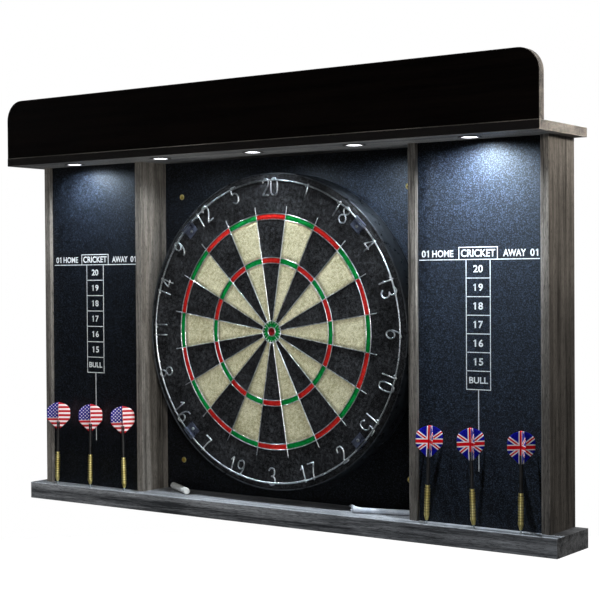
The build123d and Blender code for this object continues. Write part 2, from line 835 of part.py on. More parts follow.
def dart_point(axis, profile):
    """Steel point, from just above the bottom of its hole to the end of its socket."""
    tip = tip_gap - dart_hole_depth
    top = nose_height + socket_depth
    with BuildPart() as point:
        with BuildSketch(profile):
            with BuildLine():
                Polyline(
                    (0, tip),
                    (point_tip_radius, tip),
                    (point_radius, tip + point_taper),
                    (point_radius, top),
                    (0, top),
                    close=True,
                )
            make_face()
        revolve(axis=axis)
    return point.part


def dart_barrel(axis, profile):
    """Brass barrel with a tapered nose, grip grooves and a collar, bored at both ends."""
    shoulder = nose_height + nose_length
    groove_radius = barrel_radius - groove_depth
    neck = barrel_top - collar_length
    socket_top = nose_height + socket_depth
    thread_bottom = barrel_top - socket_depth
    outline = [(0, socket_top), (point_radius, socket_top)]
    outline += [(point_radius, nose_height), (nose_radius, nose_height), (barrel_radius, shoulder)]
    for index in range(groove_count):
        low = shoulder + groove_start + index * groove_pitch
        high = low + groove_width
        outline += [(barrel_radius, low), (groove_radius, low)]
        outline += [(groove_radius, high), (barrel_radius, high)]
    outline += [(barrel_radius, neck - collar_gap), (collar_neck_radius, neck - collar_gap)]
    outline += [(collar_neck_radius, neck), (collar_radius, neck), (collar_radius, barrel_top)]
    outline += [(thread_radius, barrel_top), (thread_radius, thread_bottom), (0, thread_bottom)]
    with BuildPart() as barrel:
        with BuildSketch(profile):
            with BuildLine():
                Polyline(*outline, close=True)
            make_face()
        revolve(axis=axis)
    return barrel.part


def dart_flight(base):
    """Flight of four fins: two crossed plates with the standard outline."""
    with BuildPart() as flight:
        for turn in (flight_turn, flight_turn + 90):
            fin_way = base.x_dir * cos(radians(turn)) + base.y_dir * sin(radians(turn))
            with BuildSketch(Plane(origin=base.origin, x_dir=fin_way, z_dir=fin_way.cross(base.z_dir))):
                with BuildLine() as edge:
                    Polyline(
                        (0, flight_bottom),
                        (flight_root, flight_bottom),
                        (flight_half_span, flight_bottom + flight_shoulder),
                        (flight_half_span, flight_bottom + flight_cheek),
                    )
                    crown = (flight_crown_x, flight_bottom + flight_crown)
                    RadiusArc(edge.line @ 1, crown, -flight_crown_bend)
                    Line(edge.line @ 1, (0, flight_bottom + flight_height))
                    Line((0, flight_bottom + flight_height), (0, flight_bottom))
                make_face()
                mirror(about=Plane.YZ)
            extrude(amount=flight_thickness / 2, both=True)
    return flight.part


def dart_stem(axis, profile, flight):
    """Plastic stem: a thread in the barrel, a round shaft, and a top slotted for the flight."""
    bottom = barrel_top - socket_depth
    top = barrel_top + stem_length
    with BuildPart() as stem:
        with BuildSketch(profile):
            with BuildLine():
                Polyline(
                    (0, bottom),
                    (thread_radius, bottom),
                    (thread_radius, barrel_top),
                    (stem_radius, barrel_top),
                    (stem_radius, top),
                    (0, top),
                    close=True,
                )
            make_face()
        revolve(axis=axis)
        add(flight, mode=Mode.SUBTRACT)
    return stem.part


for side, leans in dart_leans.items():
    for index, (lean, hole) in enumerate(zip(leans, dart_holes[side])):
        tilt = radians(lean)
        mouth = (*hole, tray_top)
        base = Plane(origin=mouth, x_dir=(cos(tilt), 0, -sin(tilt)), z_dir=(sin(tilt), 0, cos(tilt)))
        profile = Plane(origin=mouth, x_dir=base.x_dir, z_dir=-base.y_dir)
        axis = Axis(mouth, base.z_dir)
        flight = dart_flight(base)
        name = f"{side}_dart_{index + 1}"
        save(dart_point(axis, profile), f"{name}_point")
        save(dart_barrel(axis, profile), f"{name}_barrel")
        save(dart_stem(axis, profile, flight), f"{name}_stem")
        save(flight, f"{name}_flight")

# Chalk stick, lying on the tray
chalk_way = radians(chalk_heading)
chalk_start = (*chalk_back_end, tray_top + rest_gap + chalk_radius)

with BuildPart() as chalk_stick:
    with BuildSketch(Plane(origin=chalk_start, z_dir=(cos(chalk_way), sin(chalk_way), 0))):
        Circle(chalk_radius)
    extrude(amount=chalk_length)
    chamfer(chalk_stick.edges().filter_by(GeomType.CIRCLE), length=chalk_edge)
save(chalk_stick.part, "chalk_stick")

# Rolled cleaning cloth, flared at its loose end, lying on the tray
cloth_way = radians(cloth_heading)
cloth_start = Vector(*cloth_left_end, tray_top + rest_gap + cloth_flare_radius)
cloth_ahead = Vector(cos(cloth_way), sin(cloth_way), 0)

with BuildPart() as cleaning_cloth:
    with BuildSketch(Plane(origin=cloth_start, z_dir=cloth_ahead)):
        Circle(cloth_flare_radius)
    with BuildSketch(Plane(origin=cloth_start + cloth_ahead * cloth_flare_length, z_dir=cloth_ahead)):
        Circle(cloth_radius)
    loft()
    with BuildSketch(Plane(origin=cloth_start + cloth_ahead * cloth_flare_length, z_dir=cloth_ahead)):
        Circle(cloth_radius)
    extrude(amount=cloth_length - cloth_flare_length)
save(cleaning_cloth.part, "cleaning_cloth")
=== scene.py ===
"""Looks of the dart board cabinet: finishes on the CAD pieces, and finer pieces for what needs them.

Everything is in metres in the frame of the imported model: origin on the wall straight behind the bull,
+X to the viewer's right, +Y into the wall, +Z up. Lengths named _mm are in millimetres.
"""

import json
import random
from math import cos, pi, radians, sin

import bmesh
import bpy
from mathutils import Matrix, Vector


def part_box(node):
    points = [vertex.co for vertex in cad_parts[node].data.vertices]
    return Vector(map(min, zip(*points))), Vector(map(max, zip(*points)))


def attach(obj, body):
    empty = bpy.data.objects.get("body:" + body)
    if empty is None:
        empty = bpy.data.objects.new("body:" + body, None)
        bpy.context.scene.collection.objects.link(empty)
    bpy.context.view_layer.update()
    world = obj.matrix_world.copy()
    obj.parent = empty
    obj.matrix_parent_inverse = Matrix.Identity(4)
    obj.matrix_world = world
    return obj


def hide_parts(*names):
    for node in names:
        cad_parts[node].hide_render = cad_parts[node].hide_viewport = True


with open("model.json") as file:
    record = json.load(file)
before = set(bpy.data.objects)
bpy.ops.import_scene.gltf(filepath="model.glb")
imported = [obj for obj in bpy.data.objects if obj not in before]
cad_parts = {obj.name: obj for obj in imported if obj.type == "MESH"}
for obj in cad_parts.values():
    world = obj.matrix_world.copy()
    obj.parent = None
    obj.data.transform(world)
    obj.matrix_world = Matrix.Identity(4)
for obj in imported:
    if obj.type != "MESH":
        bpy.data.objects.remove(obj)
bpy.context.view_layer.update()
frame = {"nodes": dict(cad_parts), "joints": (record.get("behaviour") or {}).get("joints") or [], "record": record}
MM = 0.001

# Places read from the frame
sisal_low, sisal_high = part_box("board_sisal")
ring_low, ring_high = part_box("number_ring")
rim_low, rim_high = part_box("board_rim")
tray_low, tray_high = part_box("bottom_tray")
board_face = sisal_low.y

# Scoring layout of a standard board
sector_count = 20
double_outer_mm, double_inner_mm = 170.0, 162.0
treble_outer_mm, treble_inner_mm = 107.0, 99.0
outer_bull_mm, inner_bull_mm = 15.9, 6.35
wire_radius_mm = 0.65
radial_end_mm = 181.5
numbers = (20, 1, 18, 4, 13, 6, 10, 15, 2, 17, 3, 19, 7, 16, 8, 11, 14, 9, 12, 5)
upright_numbers = (2, 17, 3, 19, 7, 16)

# Colours of the lamps
cool_white, blue_white, warm_white = (0.86, 0.94, 1.0), (0.66, 0.82, 1.0), (1.0, 0.93, 0.84)

# Shelf lamps, by their place as a share of the row's half length: the power of each one's light on the
# pieces, of its glow on the black boards, and of the bright pool in that glow
lamp_powers = {
    -1: (3.2, 8, 3.8),
    -0.494: (1.2, 5, 0),
    0: (0.9, 14, 0),
    0.494: (1.5, 54, 0),
    1: (9.0, 128, 5.5),
}


def rgb(red, green, blue):
    """Linear colour, with alpha, from 0 to 255 screen values."""
    def linear(value):
        share = value / 255
        return share / 12.92 if share < 0.04045 else ((share + 0.055) / 1.055) ** 2.4
    return (linear(red), linear(green), linear(blue), 1.0)


# ---------------------------------------------------------------- camera, lights and stage

def add_camera():
    """The reference view: from the right, a little above the bull, nearly level."""
    position = Vector((1.24677, -1.73313, 0.07797))
    yaw, pitch, roll = radians(35.58), radians(-0.89), radians(-0.37)
    forward = Vector((-sin(yaw) * cos(pitch), cos(yaw) * cos(pitch), sin(pitch)))
    level_right = forward.cross(Vector((0, 0, 1))).normalized()
    level_up = level_right.cross(forward)
    right = level_right * cos(roll) + level_up * sin(roll)
    up = level_up * cos(roll) - level_right * sin(roll)
    data = bpy.data.cameras.new("camera")
    data.lens = 86.97
    data.sensor_width = 36.0
    camera = bpy.data.objects.new("camera", data)
    turn = Matrix((right, up, -forward)).transposed().to_4x4()
    camera.matrix_world = Matrix.Translation(position) @ turn
    bpy.context.scene.collection.objects.link(camera)
    bpy.context.scene.camera = camera


def light_group(name, pieces, state="INCLUDE"):
    """Pieces that a lamp lights alone, or with the state EXCLUDE the ones that it leaves out."""
    group = bpy.data.collections.new(name)
    for piece in pieces:
        group.objects.link(piece)
    for entry in group.collection_objects:
        entry.light_linking.link_state = state
    return group


def add_light(name, kind, position, target, power, colour=(1, 1, 1), group=None, **settings):
    """A lamp at a position, turned towards a target, for a light group or for everything."""
    data = bpy.data.lights.new(name, kind)
    data.energy = power
    data.color = colour
    for key, value in settings.items():
        setattr(data, key, value)
    lamp = bpy.data.objects.new(name, data)
    way = Vector(target) - Vector(position)
    lamp.matrix_world = Matrix.Translation(position) @ way.to_track_quat("-Z", "Y").to_matrix().to_4x4()
    lamp.visible_camera = False
    lamp.light_linking.receiver_collection = group
    bpy.context.scene.collection.objects.link(lamp)
    return lamp


def even_falloff(lamp, strength, kind):
    """Let a lamp lose less strength with distance, as a long row of small lamps nearly does."""
    lamp.data.use_nodes = True
    tree = lamp.data.node_tree
    falloff = tree.nodes.new("ShaderNodeLightFalloff")
    falloff.inputs["Strength"].default_value = strength
    emission = tree.nodes["Emission"]
    tree.links.new(falloff.outputs[kind], emission.inputs["Strength"])


def add_shelf_lamps(boards, others):
    """The five lamps under the shelf. The black boards have their own share of each lamp's light."""
    low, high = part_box("led_lenses")
    row_y = (low.y + high.y) / 2
    reach = (high.x - low.x - (high.y - low.y)) / 2
    below_mm, into_mm, lamp_radius_mm = 2, 6, 6

    def beam(name, power, colour, group, cone, blend=0.8):
        top = (place * reach, row_y, low.z - below_mm * MM)
        down = (place * reach, row_y + into_mm * MM, low.z - 1)
        return add_light(name, "SPOT", top, down, power, colour, group, spot_size=radians(cone),
                         spot_blend=blend, shadow_soft_size=lamp_radius_mm * MM)

    for place, (near_power, glow_power, core_power) in lamp_powers.items():
        beam("cabinet_spot", near_power, cool_white, others, 150, blend=1.0)
        even_falloff(beam("cabinet_glow", glow_power, blue_white, boards, 172), 1.0, "Linear")
        if core_power:
            beam("cabinet_core", core_power, blue_white, boards, 172)
        even_falloff(beam("cabinet_reach", 1.0, cool_white, others, 124), 9.0, "Constant")


def add_lights():
    """Shelf lamps, soft studio light, and a surround that only the camera sees as white."""
    black_boards = [frame["nodes"][name] for name in ("scoreboard_left", "scoreboard_right", "back_panel")]
    boards = light_group("black_boards_only", black_boards)
    others = light_group("all_but_black_boards", black_boards, "EXCLUDE")
    shelf = light_group("shelf_only", [frame["nodes"]["header_shelf"]])
    add_shelf_lamps(boards, others)
    spot = dict(spot_size=radians(30), spot_blend=1.0, shadow_soft_size=0.12)
    add_light("front_softbox", "AREA", (0.7, -2.9, 0.35), (0, 0, 0), 19, (0.94, 0.97, 1.0), others, size=1.5)
    add_light("right_softbox", "AREA", (2.6, -0.5, 0.9), (0.3, 0, 0.1), 9, warm_white, others, size=1.2)
    add_light("right_corner_spot", "SPOT", (1.7, -0.45, 0.55), (0.45, -0.05, 0.39), 95, warm_white, **spot)
    add_light("inner_spot", "SPOT", (1.1, -1.3, 0.1), (-0.25, -0.05, 0.02), 52, (1.0, 0.98, 0.92), **spot)
    add_light("shelf_bounce", "AREA", (0, -0.13, -0.1), (0, -0.1, 1), 1.2, cool_white, shelf,
              shape="RECTANGLE", size=0.9, size_y=0.1)
    add_light("left_softbox", "AREA", (-2.6, -0.4, 0.7), (-0.3, 0, 0), 7, group=others, size=1.2)
    add_light("back_softbox", "AREA", (0.4, 2.4, 1.6), (0, 0, 0), 30, size=2.0)
    world = bpy.data.worlds.new("white_surround")
    bpy.context.scene.world = world
    world.use_nodes = True
    tree = world.node_tree
    background = tree.nodes["Background"]
    seen = tree.nodes.new("ShaderNodeLightPath").outputs["Is Camera Ray"]
    strength = tree.nodes.new("ShaderNodeMapRange")
    strength.inputs["To Min"].default_value = 0.05
    strength.inputs["To Max"].default_value = 1.0
    tree.links.new(seen, strength.inputs["Value"])
    tree.links.new(strength.outputs["Result"], background.inputs["Strength"])
    background.inputs["Color"].default_value = (1, 1, 1, 1)
    bpy.context.scene.view_settings.view_transform = "Standard"


def add_floor():
    """A plain pale floor, well below the cabinet, lit from above by a lamp of its own."""
    finish = Finish("pale_floor", roughness=0.9)
    finish.paint(finish.noise(40, detail=2), (0, rgb(246, 246, 246)), (1, rgb(253, 253, 253)))
    floor_radius, drop = 5.0, 0.9
    mesh = bmesh.new()
    bmesh.ops.create_circle(mesh, cap_ends=True, segments=96, radius=floor_radius)
    floor = make_piece("studio_floor", mesh, finish.material, smooth=False)
    floor.location.z = tray_low.z - drop
    floor.visible_diffuse = False
    floor.visible_glossy = False
    group = light_group("floor_only", [floor])
    add_light("floor_sun", "SUN", (0, 0, 3), (0.2, 0.1, 0), 3.4, group=group, angle=radians(40))


# ---------------------------------------------------------------- materials

class Finish:
    """A node material around one Principled shader, with short ways to add nodes to it."""

    def __init__(self, name, gloss=0.5, **sockets):
        self.material = bpy.data.materials.new(name)
        self.material.use_nodes = True
        self.tree = self.material.node_tree
        self.shader = self.tree.nodes["Principled BSDF"]
        self.source = self.add("ShaderNodeTexCoord").outputs
        self.coordinates = self.source["Object"]
        self.normal = None
        self.shader.inputs["Specular IOR Level"].default_value = gloss
        for words, value in sockets.items():
            self.shader.inputs[words.replace("_", " ").title()].default_value = value

    def add(self, kind, inputs=None, **properties):
        """A node of a kind, with values or links for its inputs."""
        node = self.tree.nodes.new(kind)
        for key, value in properties.items():
            setattr(node, key, value)
        for key, value in (inputs or {}).items():
            if isinstance(value, bpy.types.NodeSocket):
                self.tree.links.new(value, node.inputs[key])
            else:
                node.inputs[key].default_value = value
        return node

    def voronoi(self, scale, channel, vector=None):
        """One colour channel of a Voronoi pattern: a different value in each cell."""
        cells = self.add("ShaderNodeTexVoronoi", {"Vector": vector or self.coordinates, "Scale": scale})
        colour = {"Color": cells.outputs["Color"]}
        return self.add("ShaderNodeSeparateColor", colour).outputs[channel]

    def axes(self, vector=None):
        """The X, Y and Z of a vector, or of the piece's own coordinates."""
        return self.add("ShaderNodeSeparateXYZ", {"Vector": vector or self.coordinates}).outputs

    def set(self, name_of_socket, output):
        """Link an output to a socket of the shader."""
        self.tree.links.new(output, self.shader.inputs[name_of_socket])

    def stretched(self, scale):
        """The piece's own coordinates, multiplied along each axis."""
        return self.add("ShaderNodeMapping", {"Vector": self.coordinates, "Scale": scale}).outputs["Vector"]

    def noise(self, scale, detail=4.0, roughness=0.6, stretch=None, distortion=0.0):
        """A noise over the piece's own coordinates, drawn out by the stretch where one is given."""
        vector = self.stretched(stretch) if stretch else self.coordinates
        inputs = {"Vector": vector, "Scale": scale, "Detail": detail, "Roughness": roughness,
                  "Distortion": distortion}
        return self.add("ShaderNodeTexNoise", inputs).outputs["Fac"]

    def math(self, operation, *values):
        """One step of arithmetic on outputs or numbers."""
        return self.add("ShaderNodeMath", dict(enumerate(values)), operation=operation).outputs["Value"]

    def distance(self, across, up):
        """How far a point is from the middle, from its places across and up."""
        squares = [self.math("MULTIPLY", value, value) for value in (across, up)]
        return self.math("SQRT", self.math("ADD", *squares))

    def layers(self, coarse, fine, fine_share, cloud, cloud_share):
        """Coarse and fine noise added by their shares, with a slow cloud that lightens and darkens both."""
        body = self.math("MULTIPLY", coarse, 1 - fine_share)
        body = self.math("ADD", body, self.math("MULTIPLY", fine, fine_share))
        return self.math("ADD", body, self.math("MULTIPLY", self.math("SUBTRACT", cloud, 0.5), cloud_share))

    def ramp(self, value, *stops):
        """Colours along a value, from (place, colour) stops."""
        node = self.add("ShaderNodeValToRGB", {"Fac": value})
        ramp = node.color_ramp
        ramp.elements[0].position, ramp.elements[0].color = stops[0]
        ramp.elements[1].position, ramp.elements[1].color = stops[-1]
        for place, colour in stops[1:-1]:
            ramp.elements.new(place).color = colour
        return node.outputs["Color"]

    def between(self, value, low, high, to_low=0.0, to_high=1.0):
        """The value's place from low to high, carried over to another span, and clamped."""
        inputs = {"Value": value, "From Min": low, "From Max": high, "To Min": to_low, "To Max": to_high}
        return self.add("ShaderNodeMapRange", inputs).outputs["Result"]

    def mix(self, share, first, second):
        """Two colours mixed by a share, from 0 for the first to 1 for the second."""
        return self.add("ShaderNodeMix", {0: share, 6: first, 7: second}, data_type="RGBA").outputs[2]

    def paint(self, value, *stops):
        """Set the surface's colour by a ramp."""
        self.set("Base Color", self.ramp(value, *stops))

    def rough(self, value, smoothest, roughest):
        """Set the roughness between two limits by a noise."""
        self.set("Roughness", self.between(value, 0.3, 0.7, smoothest, roughest))

    def bump(self, height, distance_mm, strength=1.0):
        """Raise the surface by a height from 0 to 1 times a distance. Several bumps add up."""
        inputs = {"Height": height, "Distance": distance_mm * MM, "Strength": strength}
        if self.normal is not None:
            inputs["Normal"] = self.normal
        self.normal = self.add("ShaderNodeBump", inputs).outputs["Normal"]
        self.set("Normal", self.normal)

    def edge(self, radius_mm):
        """From 0 on flat faces to 1 on sharp edges."""
        rounded = self.add("ShaderNodeBevel", {"Radius": radius_mm * MM}, samples=4).outputs["Normal"]
        flat = self.add("ShaderNodeNewGeometry").outputs["Normal"]
        inputs = {0: rounded, 1: flat}
        alike = self.add("ShaderNodeVectorMath", inputs, operation="DOT_PRODUCT").outputs["Value"]
        return self.between(alike, 0.995, 0.8)


def stretched_along(axis, share):
    """Scales for a noise that is drawn out along one axis, as grain and scratches are."""
    return [share if letter == axis else 1.0 for letter in "XYZ"]


def halfway(first, second):
    """The colour halfway between two."""
    return tuple((a + b) / 2 for a, b in zip(first, second))


def scaled(colour, factor):
    """A colour made darker or lighter by a factor."""
    return tuple(min(1.0, value * factor) for value in colour[:3]) + (1.0,)


def laminate(name, grain, dark, light, front=None, shine=0.18):
    """Printed wood laminate with its grain along an axis.

    front gives a darker pair of colours for the faces that look at -Y.
    """
    finish = Finish(name, shine)
    stretch = stretched_along(grain, 0.035)
    wide = finish.noise(95, detail=6, roughness=0.62, stretch=stretch, distortion=0.5)
    fine = finish.noise(620, detail=5, roughness=0.7, stretch=stretch)
    pores = finish.noise(1500, detail=2, roughness=0.5, stretch=[2.2 * value for value in stretch])
    cloud = finish.noise(7, detail=3)
    body = finish.layers(wide, fine, 0.38, cloud, 0.22)
    colour = finish.ramp(body, (0.38, dark), (0.5, halfway(dark, light)), (0.63, light))
    open_pores = finish.between(pores, 0.36, 0.44)
    colour = finish.mix(open_pores, scaled(dark, 0.55), colour)
    if front:
        front_colour = finish.ramp(body, (0.36, front[0]), (0.55, halfway(*front)), (0.72, front[1]))
        facing = finish.axes(finish.source["Normal"])["Y"]
        colour = finish.mix(finish.between(facing, -0.6, -0.9), colour, front_colour)
    # Edges lightened towards a paler colour: partly edge wear, partly a painted highlight along the arrises.
    edge_wear_and_highlight = finish.math("MULTIPLY", finish.edge(1.2), finish.between(cloud, 0.35, 0.65, 0.2, 0.6))
    finish.set("Base Color", finish.mix(edge_wear_and_highlight, colour, scaled(light, 1.8)))
    finish.rough(fine, 0.42, 0.6)
    finish.bump(fine, 0.12, 0.5)
    finish.bump(open_pores, 0.06, 0.6)
    return finish.material


def raw_wood(name, grain):
    """Pale unfinished softwood, for the blocks and cleats that stay hidden."""
    stretch = stretched_along(grain, 0.05)
    finish = Finish(name, 0.2)
    rings = finish.noise(130, detail=3, stretch=stretch, distortion=1.2)
    fibre = finish.noise(900, detail=4, stretch=stretch)
    finish.paint(rings, (0.3, rgb(146, 104, 62)), (0.5, rgb(196, 156, 106)), (0.7, rgb(214, 180, 132)))
    finish.rough(fibre, 0.62, 0.85)
    finish.bump(fibre, 0.2, 0.6)
    return finish.material


def speckled_board(name):
    """Black write-on board with an orange-peel surface, and small blue-grey specks in its colour that are painted
    glints of the lamps.
    """
    finish = Finish(name, 0.2)
    peel = finish.noise(1200, detail=2, roughness=0.5)
    fine = finish.noise(2400, detail=1, roughness=0.4)
    cloud = finish.noise(11, detail=4)
    # Painted glints: small blue-grey specks over the black stand in for the lamps' sparkle on the peel.
    glint_speck = finish.between(finish.voronoi(1150.0, "Red"), 0.6, 1.0)
    base = finish.ramp(cloud, (0.35, rgb(1, 1, 2)), (0.7, rgb(4, 5, 6)))
    finish.set("Base Color", finish.mix(glint_speck, base, rgb(47, 53, 63)))
    finish.rough(fine, 0.36, 0.56)
    finish.bump(peel, 0.2, 0.8)
    finish.bump(fine, 0.06, 0.5)
    return finish.material


def sisal(name, dark, middle, light, fleck, fleck_share):
    """Pressed sisal ends, dyed in three shades: short fibres, small pits and flecks of another tone."""
    finish = Finish(name, 0.06)
    clumps = finish.noise(210, detail=5, roughness=0.75)
    fibres = finish.noise(1150, detail=4, roughness=0.75, distortion=1.5)
    curls = finish.noise(560, detail=3, roughness=0.7, distortion=5.0)
    patches = finish.noise(19, detail=3)
    body = finish.layers(clumps, fibres, 0.65, patches, 0.15)
    colour = finish.ramp(body, (0.4, dark), (0.5, middle), (0.6, light))
    most_fleck = 0.36 + fleck_share * 0.3
    spots = finish.between(curls, most_fleck + 0.04, most_fleck)
    finish.set("Base Color", finish.mix(spots, colour, fleck))
    finish.rough(fibres, 0.75, 0.95)
    finish.bump(clumps, 0.5, 0.7)
    finish.bump(fibres, 0.3, 0.8)
    return finish.material


def metal(name, dark, light, roughness, bump_mm=0.02, groove_shade=None):
    """Bare or plated metal with fine scratches and a slightly uneven finish. The colour given last, where there is
    one, is painted shade in its grooves.
    """
    finish = Finish(name, metallic=1.0)
    scratches = finish.noise(700, detail=4, roughness=0.7)
    colour = finish.ramp(finish.noise(60, detail=4), (0.35, dark), (0.65, light))
    if groove_shade:
        # Painted shade: ambient occlusion darkens the grooves towards the given colour.
        corners = finish.add("ShaderNodeAmbientOcclusion", {"Distance": 1.5 * MM}, samples=8)
        colour = finish.mix(finish.between(corners.outputs["AO"], 0.5, 0.9), groove_shade, colour)
    finish.set("Base Color", colour)
    finish.rough(scratches, roughness - 0.08, roughness + 0.1)
    finish.bump(scratches, bump_mm, 0.5)
    return finish.material


def plastic(name, dark, light, roughness, grain_scale=1800, bump_mm=0.03):
    """Moulded plastic, rubber or enamel with a fine grain and faint scuffs."""
    finish = Finish(name, 0.45)
    grain = finish.noise(grain_scale, detail=2)
    scuffs = finish.noise(90, detail=5, roughness=0.7)
    finish.paint(scuffs, (0.4, dark), (0.72, light))
    finish.set("Roughness", finish.between(scuffs, 0.35, 0.7, roughness - 0.05, roughness + 0.14))
    finish.bump(grain, bump_mm, 0.6)
    return finish.material


def glowing_lens(name):
    """Frosted lenses of the cabinet lamps, brightest in their middles."""
    finish = Finish(name, roughness=0.35)
    frost = finish.noise(900, detail=3)
    low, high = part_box("led_lenses")
    lens_radius = (high.y - low.y) / 2
    axes = finish.axes()
    back = finish.math("SUBTRACT", axes["Y"], (low.y + high.y) / 2)
    nearest = lens_radius
    for place in lamp_powers:
        beside = finish.math("SUBTRACT", axes["X"], place * (high.x - lens_radius))
        nearest = finish.math("MINIMUM", nearest, finish.distance(beside, back))
    glow = finish.between(nearest, 0.35 * lens_radius, lens_radius, 12.0, 0.45)
    finish.set("Emission Strength", glow)
    finish.paint(frost, (0.3, rgb(232, 238, 246)), (0.7, rgb(250, 252, 255)))
    finish.set("Emission Color", finish.ramp(frost, (0.3, rgb(236, 243, 255)), (0.7, rgb(255, 255, 255))))
    finish.bump(frost, 0.05, 0.5)
    return finish.material


def circuit_board(name):
    """White solder mask with faint copper tracks below it."""
    finish = Finish(name, 0.5, roughness=0.4)
    bricks = {"Vector": finish.coordinates, "Scale": 420.0, "Mortar Size": 0.06}
    bricks.update({"Color1": rgb(222, 226, 222), "Color2": rgb(208, 216, 208), "Mortar": rgb(176, 168, 122)})
    finish.set("Base Color", finish.add("ShaderNodeTexBrick", bricks).outputs["Color"])
    finish.bump(finish.noise(1500), 0.03, 0.5)
    return finish.material


def particle_board(name):
    """Brown pressed-fibre backing of the board."""
    finish = Finish(name, 0.2)
    tone = finish.voronoi(420.0, "Green", finish.stretched((1, 1, 0.6)))
    finish.paint(tone, (0.1, rgb(84, 62, 42)), (0.5, rgb(122, 92, 62)), (0.9, rgb(150, 118, 84)))
    finish.set("Roughness", finish.between(tone, 0, 1, 0.7, 0.9))
    finish.bump(tone, 0.12, 0.5)
    return finish.material


def white_paint(name):
    """Screen-printed white lines and labels, slightly thin in places."""
    finish = Finish(name, 0.3, roughness=0.5)
    thin = finish.noise(420, detail=5, roughness=0.7)
    finish.paint(thin, (0.34, rgb(172, 180, 184)), (0.5, rgb(226, 231, 233)), (0.7, rgb(240, 243, 244)))
    finish.bump(thin, 0.03, 0.5)
    return finish.material


def flight_coordinates(finish):
    """Across and up a flight from its middle, in millimetres, from the mesh's own layout."""
    layout = finish.add("ShaderNodeUVMap", uv_map="flight").outputs["UV"]
    axes = finish.axes(layout)
    return axes["X"], axes["Y"]


def flight_foil(finish, colour):
    """Thin printed foil over a flight's pattern."""
    haze = finish.noise(500, detail=3)
    finish.set("Base Color", colour)
    finish.rough(haze, 0.22, 0.38)
    finish.bump(haze, 0.04, 0.4)
    return finish.material


def flight_crosses(name):
    """Red upright cross edged in white over red and white diagonals, on blue."""
    finish = Finish(name, 0.2)
    across, up = flight_coordinates(finish)
    slope = radians(36)
    high = finish.math("MULTIPLY", up, cos(slope))
    wide = finish.math("MULTIPLY", across, sin(slope))
    rising = finish.math("ABSOLUTE", finish.math("SUBTRACT", high, wide))
    falling = finish.math("ABSOLUTE", finish.math("ADD", high, wide))
    diagonal = finish.math("MINIMUM", rising, falling)
    upright = finish.math("MINIMUM", finish.math("ABSOLUTE", across), finish.math("ABSOLUTE", up))
    red, white, colour = rgb(228, 10, 26), rgb(250, 246, 248), rgb(10, 14, 150)
    for far, half_mm, paint in ((diagonal, 2.5, white), (diagonal, 1.0, red), (upright, 3.7, white),
                                (upright, 2.2, red)):
        colour = finish.mix(finish.between(far, half_mm - 0.05, half_mm + 0.05), paint, colour)
    return flight_foil(finish, colour)


def flight_stars(name):
    """Red and white stripes with a blue corner of small white stars."""
    finish = Finish(name, 0.2)
    across, up = flight_coordinates(finish)
    red, white, blue = rgb(190, 14, 34), rgb(248, 234, 238), rgb(4, 8, 128)
    stripe_mm, lowest_mm = 3.23, 21.0
    phase = finish.math("DIVIDE", finish.math("ADD", up, lowest_mm), 2 * stripe_mm)
    striped = finish.mix(finish.between(finish.math("FRACT", phase), 0.53, 0.55), red, white)
    star_pitch_mm, star_reach, star_point, cells_aside = 5.4, 0.15, 0.035, 40.0

    def in_cell(distance, shift):
        cell = finish.math("ADD", finish.math("DIVIDE", distance, star_pitch_mm), cells_aside + shift)
        return finish.math("SUBTRACT", finish.math("FRACT", cell), 0.5)

    stars = 0.0
    for shift in (0.0, 0.5):
        beside, above = in_cell(across, shift), in_cell(up, shift)
        turn = finish.math("MULTIPLY", finish.math("ARCTAN2", beside, above), 5.0)
        reach = finish.math("MULTIPLY_ADD", finish.math("COSINE", turn), star_point, star_reach)
        inside = finish.math("SUBTRACT", reach, finish.distance(beside, above))
        stars = finish.math("MAXIMUM", stars, finish.between(inside, -0.01, 0.01))
    corner = finish.mix(stars, blue, white)
    beside_middle, above_foot = finish.between(across, 0.05, -0.05), finish.between(up, -4.05, -3.95)
    in_corner = finish.math("MULTIPLY", beside_middle, above_foot)
    return flight_foil(finish, finish.mix(in_corner, striped, corner))


def chalk_finish(name):
    """Dusty pressed chalk."""
    finish = Finish(name, 0.1)
    dust = finish.noise(650, detail=5, roughness=0.7)
    smudge = finish.noise(120, detail=3)
    tone = finish.math("MULTIPLY_ADD", smudge, 0.4, finish.math("MULTIPLY", dust, 0.6))
    finish.paint(tone, (0.35, rgb(186, 188, 186)), (0.55, rgb(214, 216, 214)), (0.7, rgb(232, 233, 230)))
    finish.rough(dust, 0.85, 1.0)
    finish.bump(dust, 0.35, 0.8)
    return finish.material


def cotton(name):
    """White woven cotton: two crossed sets of threads, soft sheen and a faint grey soiling."""
    finish = Finish(name, 0.1, sheen_weight=0.4, sheen_roughness=0.5)
    lint = finish.noise(2200, detail=3)
    threads = {"Vector": finish.coordinates, "Scale": 480.0, "Distortion": 0.6, "Detail": 1.0}
    waves = [finish.add("ShaderNodeTexWave", threads, bands_direction=axis).outputs["Fac"] for axis in "XZ"]
    weave = finish.math("MAXIMUM", *waves)
    colour = finish.ramp(finish.noise(90, detail=4), (0.35, rgb(186, 194, 206)), (0.6, rgb(226, 230, 236)))
    finish.set("Base Color", finish.mix(finish.between(weave, 0.5, 0.9), rgb(168, 176, 190), colour))
    finish.rough(lint, 0.85, 1.0)
    finish.bump(weave, 0.12, 0.6)
    finish.bump(lint, 0.1, 0.5)
    return finish.material


